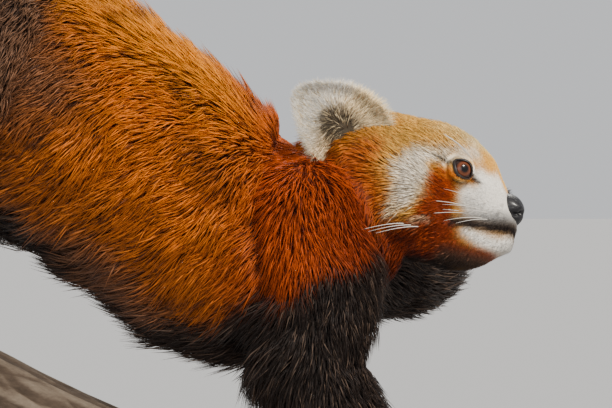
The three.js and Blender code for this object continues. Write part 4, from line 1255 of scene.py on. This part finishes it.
# %% Ear hair
def ear_hair(sign, count):
    """Roots on front, edge and back; hair points from the ear's root to its tip and out over the edge."""
    centre, axes = ear_frame(sign)
    turn, pick = draw.uniform(0, 2 * np.pi, count), draw.uniform(0, 1, count)
    back = pick > 0.68
    edge = (pick > 0.40) & (pick <= 0.68)
    share = np.where(edge, draw.uniform(0.86, 1.0, count), np.sqrt(draw.uniform(0.0, 1.0, count)))
    local = ear_point(turn, share, back)
    nearby = ear_point(turn, share * 0.96, back)
    beside = ear_point(turn + 0.05, share, back)
    normal = unit(np.cross(local - nearby, beside - local)) * np.where(back, -1, 1)[:, None]
    spoke = unit(local * [1, 1, 0] + [1e-3, 0, 0])
    lie = unit(spoke * (0.35 + share)[:, None] + np.array([0.75, 0, 0]))
    length = np.where(edge, 11.0, np.where(back, 7.0, 8.0)) + 2.0 * soft(-local[:, 0], 4, 22) * share
    rise = np.where(back, 0.22, 0.26)
    tones = ear_tones(local[:, :2], back)
    streak = (draw.uniform(0, 1, count) < 0.22) & ~back
    tones = [np.where(streak[:, None], np.array(CREAM[kind]) * 0.8, tones[kind]) for kind in (0, 1)]
    rows = np.where(back, 0.5 + share * 0.49, share * 0.49)
    spots = np.stack([turn / (2 * np.pi), rows], 1) * 0.98 + 0.01
    widths = np.full(count, 0.62)
    return grow_tufts(sided("ear_coat", sign), centre + local @ axes.T, normal @ axes.T, lie @ axes.T,
                      length, widths, rise, tones, spots, False, 4.0, 0.3)


for sign in (1, -1):
    hair = dress(ear_hair(sign, int(11500 * COAT_SHARE)), COATS["ear_fur"], "ear_coat")
print("ear hair", len(hair.data.polygons), "triangles an ear")

# %% [markdown]
# ## Whiskers and claws
# Pale whiskers stand on the sides of the muzzle and sweep back past the eye.
# Claws are short, pale and hooked. Both are tapered tubes along a bent path, joined into one mesh each.

# %% Whiskers
def whisker(sign, a, b, c, length, back, up, droop):
    """Path = root + way * length * s + droop * s squared; the radius falls from 0.34 mm to 0.04 mm."""
    s = np.linspace(0, 1, 12)[:, None]
    way, sink = unit(head_way([-back, sign, up])), head_way([-0.5, 0, 0]) + [0, 0, -droop]
    path = in_head([a, b * sign, c]) + way * length * s + sink * length * 0.5 * s**2
    radius = 0.30 * (1 - s) ** 0.7 + 0.04
    return swept_rings(path, np.repeat(radius, 2, 1), np.array([0.0, 0, 1]), 5, (0.1, 0.2))


whiskers = []
for sign in (1, -1):
    for row in range(3):
        for k in range(5):
            a = 54 - 5.2 * k + draw.uniform(-1, 1)
            c = 1.5 - 4.2 * row + 0.6 * k + draw.uniform(-0.5, 0.5)
            b = 11.5 + 2.0 * k + draw.uniform(-0.4, 0.4)
            length = 24 + 7 * k + draw.uniform(-4, 5)
            back, up, droop = 0.55 + 0.28 * k, 0.25 - 0.16 * row, 0.25 + 0.15 * row
            whiskers.append(whisker(sign, a, b, c, length, back, up, droop))
    for k in range(3):
        whiskers.append(whisker(sign, 30 + 2 * k, 26, 31 - k, 20 + 3 * k, 0.9, 0.9, 0.3))
    for k in range(3):
        whiskers.append(whisker(sign, 2 + 5 * k, 44, -24, 26, 1.0, -0.3, 0.5))
whisker_finish, tone = new_finish("pale_whisker")
shade = noise(tone, place_of(tone), 60.0)
close_finish(tone, {"Base Color": shade.blend((0.62, 0.55, 0.46), (0.80, 0.76, 0.70)), "Roughness": 0.35})
dress(join_tubes("whiskers", whiskers), whisker_finish, "face_coat")
print("whiskers", len(whiskers))

# %% Claws
def claw(middle, way, up, step):
    """A hook: from 13 mm to 26 mm ahead, dropping with the square of the way; it tapers to a point."""
    start, toe_way = toe_base(middle, way, up, step, 2.6)
    s = np.linspace(0, 1, 14)[:, None]
    path = start + toe_way * (13 + 13 * s) - up * (7.5 * s**2 - 1.5)
    radius = np.concatenate([1.5 * (1 - s) ** 0.7 + 0.12, 2.1 * (1 - s) ** 0.75 + 0.15], 1)
    return swept_rings(path, radius, np.cross(up, way), 12, (1, 0.3))


claws = [claw(*place, step) for place in PAWS.values() for step in TOES]
claw_finish, tone = new_finish("claw_horn")
layers = noise(tone, place_of(tone), 500.0, 4.0)
horn = layers.blend((0.42, 0.33, 0.24), (0.66, 0.58, 0.46))
close_finish(tone, {"Base Color": horn, "Roughness": 0.32, "Normal": bump(tone, layers, 0.25, 0.2)})
dress(join_tubes("claws", claws), claw_finish, "dark_coat")
print("claws", len(claws))

# %% [markdown]
# ## The branch
# The branch is a length of dead wood with grey-brown bark that has cracked along the grain.
# The bark is a fine grid around the branch's axis, with ridges of noise stretched along it.
# Its sawn ends are pale, with rings, and stand a little proud of the bark's broken edge.

# %% Branch shape
def bark_depth(x, around):
    """Long ridges of warped waves, deeper cracks between them, and fine breaks across."""
    warp = 0.9 * np.sin(x / 31 + 2 * np.cos(around)) + 0.5 * np.sin(x / 13 + 5 * around)
    ridges = np.sin(11 * around + warp) * 0.6 + np.sin(23 * around - 1.7 * warp + x / 47) * 0.4
    breaks = np.sin(x / 6.5 + 3 * np.sin(7 * around) + 2 * warp) * 0.35
    return 1.1 * np.tanh(2.2 * (ridges + breaks * 0.6)) - 0.6 * soft(-np.abs(ridges), -0.12, 0.0)


def branch_rings():
    """Ring at x = axis + outward * (radius - 1.2 + bark); the bark's relief fades out at both ends."""
    x, around = np.linspace(*BRANCH_ENDS, 300)[:, None], circle(200)
    low, high = BRANCH_ENDS
    depth = bark_depth(x, around) * soft(x, low, low + BARK_FADE) * soft(-x, -high, BARK_FADE - high)
    return on_branch(x + 0 * around, around + 0 * x, depth - 1.2)[:, ::-1], depth[:, ::-1]


BARK_FADE = 9
bark_rings, bark_height = branch_rings()
branch = put_mesh("branch_bark", *closed_tube(bark_rings))
value_layer(branch, "bark", np.append(bark_height, [0, 0]))
BARK_TONES = [(0.0, (0.018, 0.012, 0.008)), (0.35, (0.075, 0.052, 0.036)), (0.62, (0.17, 0.13, 0.095)),
              (1.0, (0.30, 0.25, 0.19))]
bark_finish, tone = new_finish("cracked_bark")
where = place_of(tone)
fine = noise(tone, where, 260.0, 5.0, 0.65, (0.35, 1, 1))
broad = noise(tone, where, 18.0, 3.0)
# The tone follows the bark's relief: darker in the cracks, lighter on the ridges.
sockets = {"Fac": attribute(tone, "bark", 2) * 0.16 + fine * 0.62 + broad * 0.35 - 0.10}
sockets = {"Base Color": tone.node("ShaderNodeValToRGB", {"stops": BARK_TONES}, sockets), "Roughness": 0.85}
close_finish(tone, sockets | {"Specular IOR Level": 0.2, "Normal": bump(tone, fine, 0.8, 1.5)})
dress(branch, bark_finish, "bark", "perch_branch")
print("branch", len(branch.data.polygons), "faces")

# %% Sawn ends
def sawn_end(name, x, outward):
    """A disc 1 mm proud of the branch's end: rings of radius share * r, with a rounded edge and a closed back."""
    share = np.array([0.02, 0.3, 0.6, 0.85, 0.955, 0.975, 0.975, 0.5, 0.02])[:, None]
    proud = np.array([0.6, 0.6, 0.6, 0.6, 0.5, 0.2, -3.0, -3.0, -3.0])[:, None] * outward
    around = circle(96) * outward + 0 * share
    centre, edge = on_branch(x + 0 * around, around, -branch_radius(x)), on_branch(x + 0 * around, around, 0)
    return put_mesh(name, *closed_tube(centre + (edge - centre) * share[..., None] + BRANCH_ALONG * proud[..., None]))


def vector_maths(tone, operation, first, second, output=0):
    """A vector node between a socket and a fixed vector."""
    sockets = {0: first, 1: tuple(second)}
    return tone.node("ShaderNodeVectorMath", {"operation": operation}, sockets, output)


wood_finish, tone = new_finish("sawn_wood")
where = place_of(tone)
wobble = noise(tone, where, 40.0, 3.0)
spread = vector_maths(tone, "SUBTRACT", where, BRANCH_AXIS * MM)
square = vector_maths(tone, "DOT_PRODUCT", spread, BRANCH_OUT, 1)
flat = vector_maths(tone, "DOT_PRODUCT", spread, LEFT, 1)
radius = tone.node("ShaderNodeMath", {"operation": "SQRT"}, {0: square * square + flat * flat})
rings = tone.node("ShaderNodeMath", {"operation": "SINE"}, {0: radius * 2600.0 + wobble * 9.0})
sockets = {"Base Color": (rings * 0.35 + 0.5).blend((0.36, 0.23, 0.12), (0.58, 0.43, 0.26))}
close_finish(tone, sockets | {"Roughness": 0.7, "Normal": bump(tone, rings, 0.25, 0.3)})
for name, x, outward in (("sawn_end_low", BRANCH_ENDS[1], 1), ("sawn_end_high", BRANCH_ENDS[0], -1)):
    dress(sawn_end(name, x, outward), wood_finish, "bark")
print("sawn ends at", BRANCH_ENDS)

# %% [markdown]
# ## The stand
# A flat wooden base and two steel rods carry the branch. Their solids already have the right shape,
# so they stay and only take a finish: stained wood with long grain, and drawn steel.

# %% Stand finishes
base_finish, tone = new_finish("stained_base_wood")
where = place_of(tone)
grain = noise(tone, where, 36.0, 6.0, 0.6, (0.12, 1.6, 1.0))
pores = noise(tone, where, 420.0, 3.0, 0.6, (0.04, 1.0, 1.0))
sockets = {"Base Color": (grain * 1.5 - 0.3).blend((0.040, 0.018, 0.010), (0.16, 0.085, 0.045))}
sockets |= {"Roughness": pores * 0.2 + 0.28, "Coat Weight": 0.25, "Coat Roughness": 0.2}
close_finish(tone, sockets | {"Normal": bump(tone, pores, 0.15, 0.3)})
steel_finish, tone = new_finish("drawn_steel")
lines = noise(tone, place_of(tone), 1400.0, 2.0, 0.5, (1.0, 1.0, 0.03))
sockets = {"Base Color": lines.blend((0.46, 0.46, 0.47), (0.60, 0.60, 0.60)), "Metallic": 1.0}
sockets |= {"Roughness": lines * 0.16 + 0.22, "Normal": bump(tone, lines, 0.08, 0.1)}
close_finish(tone, sockets)
STAND = {"stand_base": base_finish, "stand_rod_front": steel_finish, "stand_rod_back": steel_finish}
for name, finish in STAND.items():
    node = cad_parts[name]
    node.data.materials.clear()
    node.data.materials.append(finish)
print("stand finished")
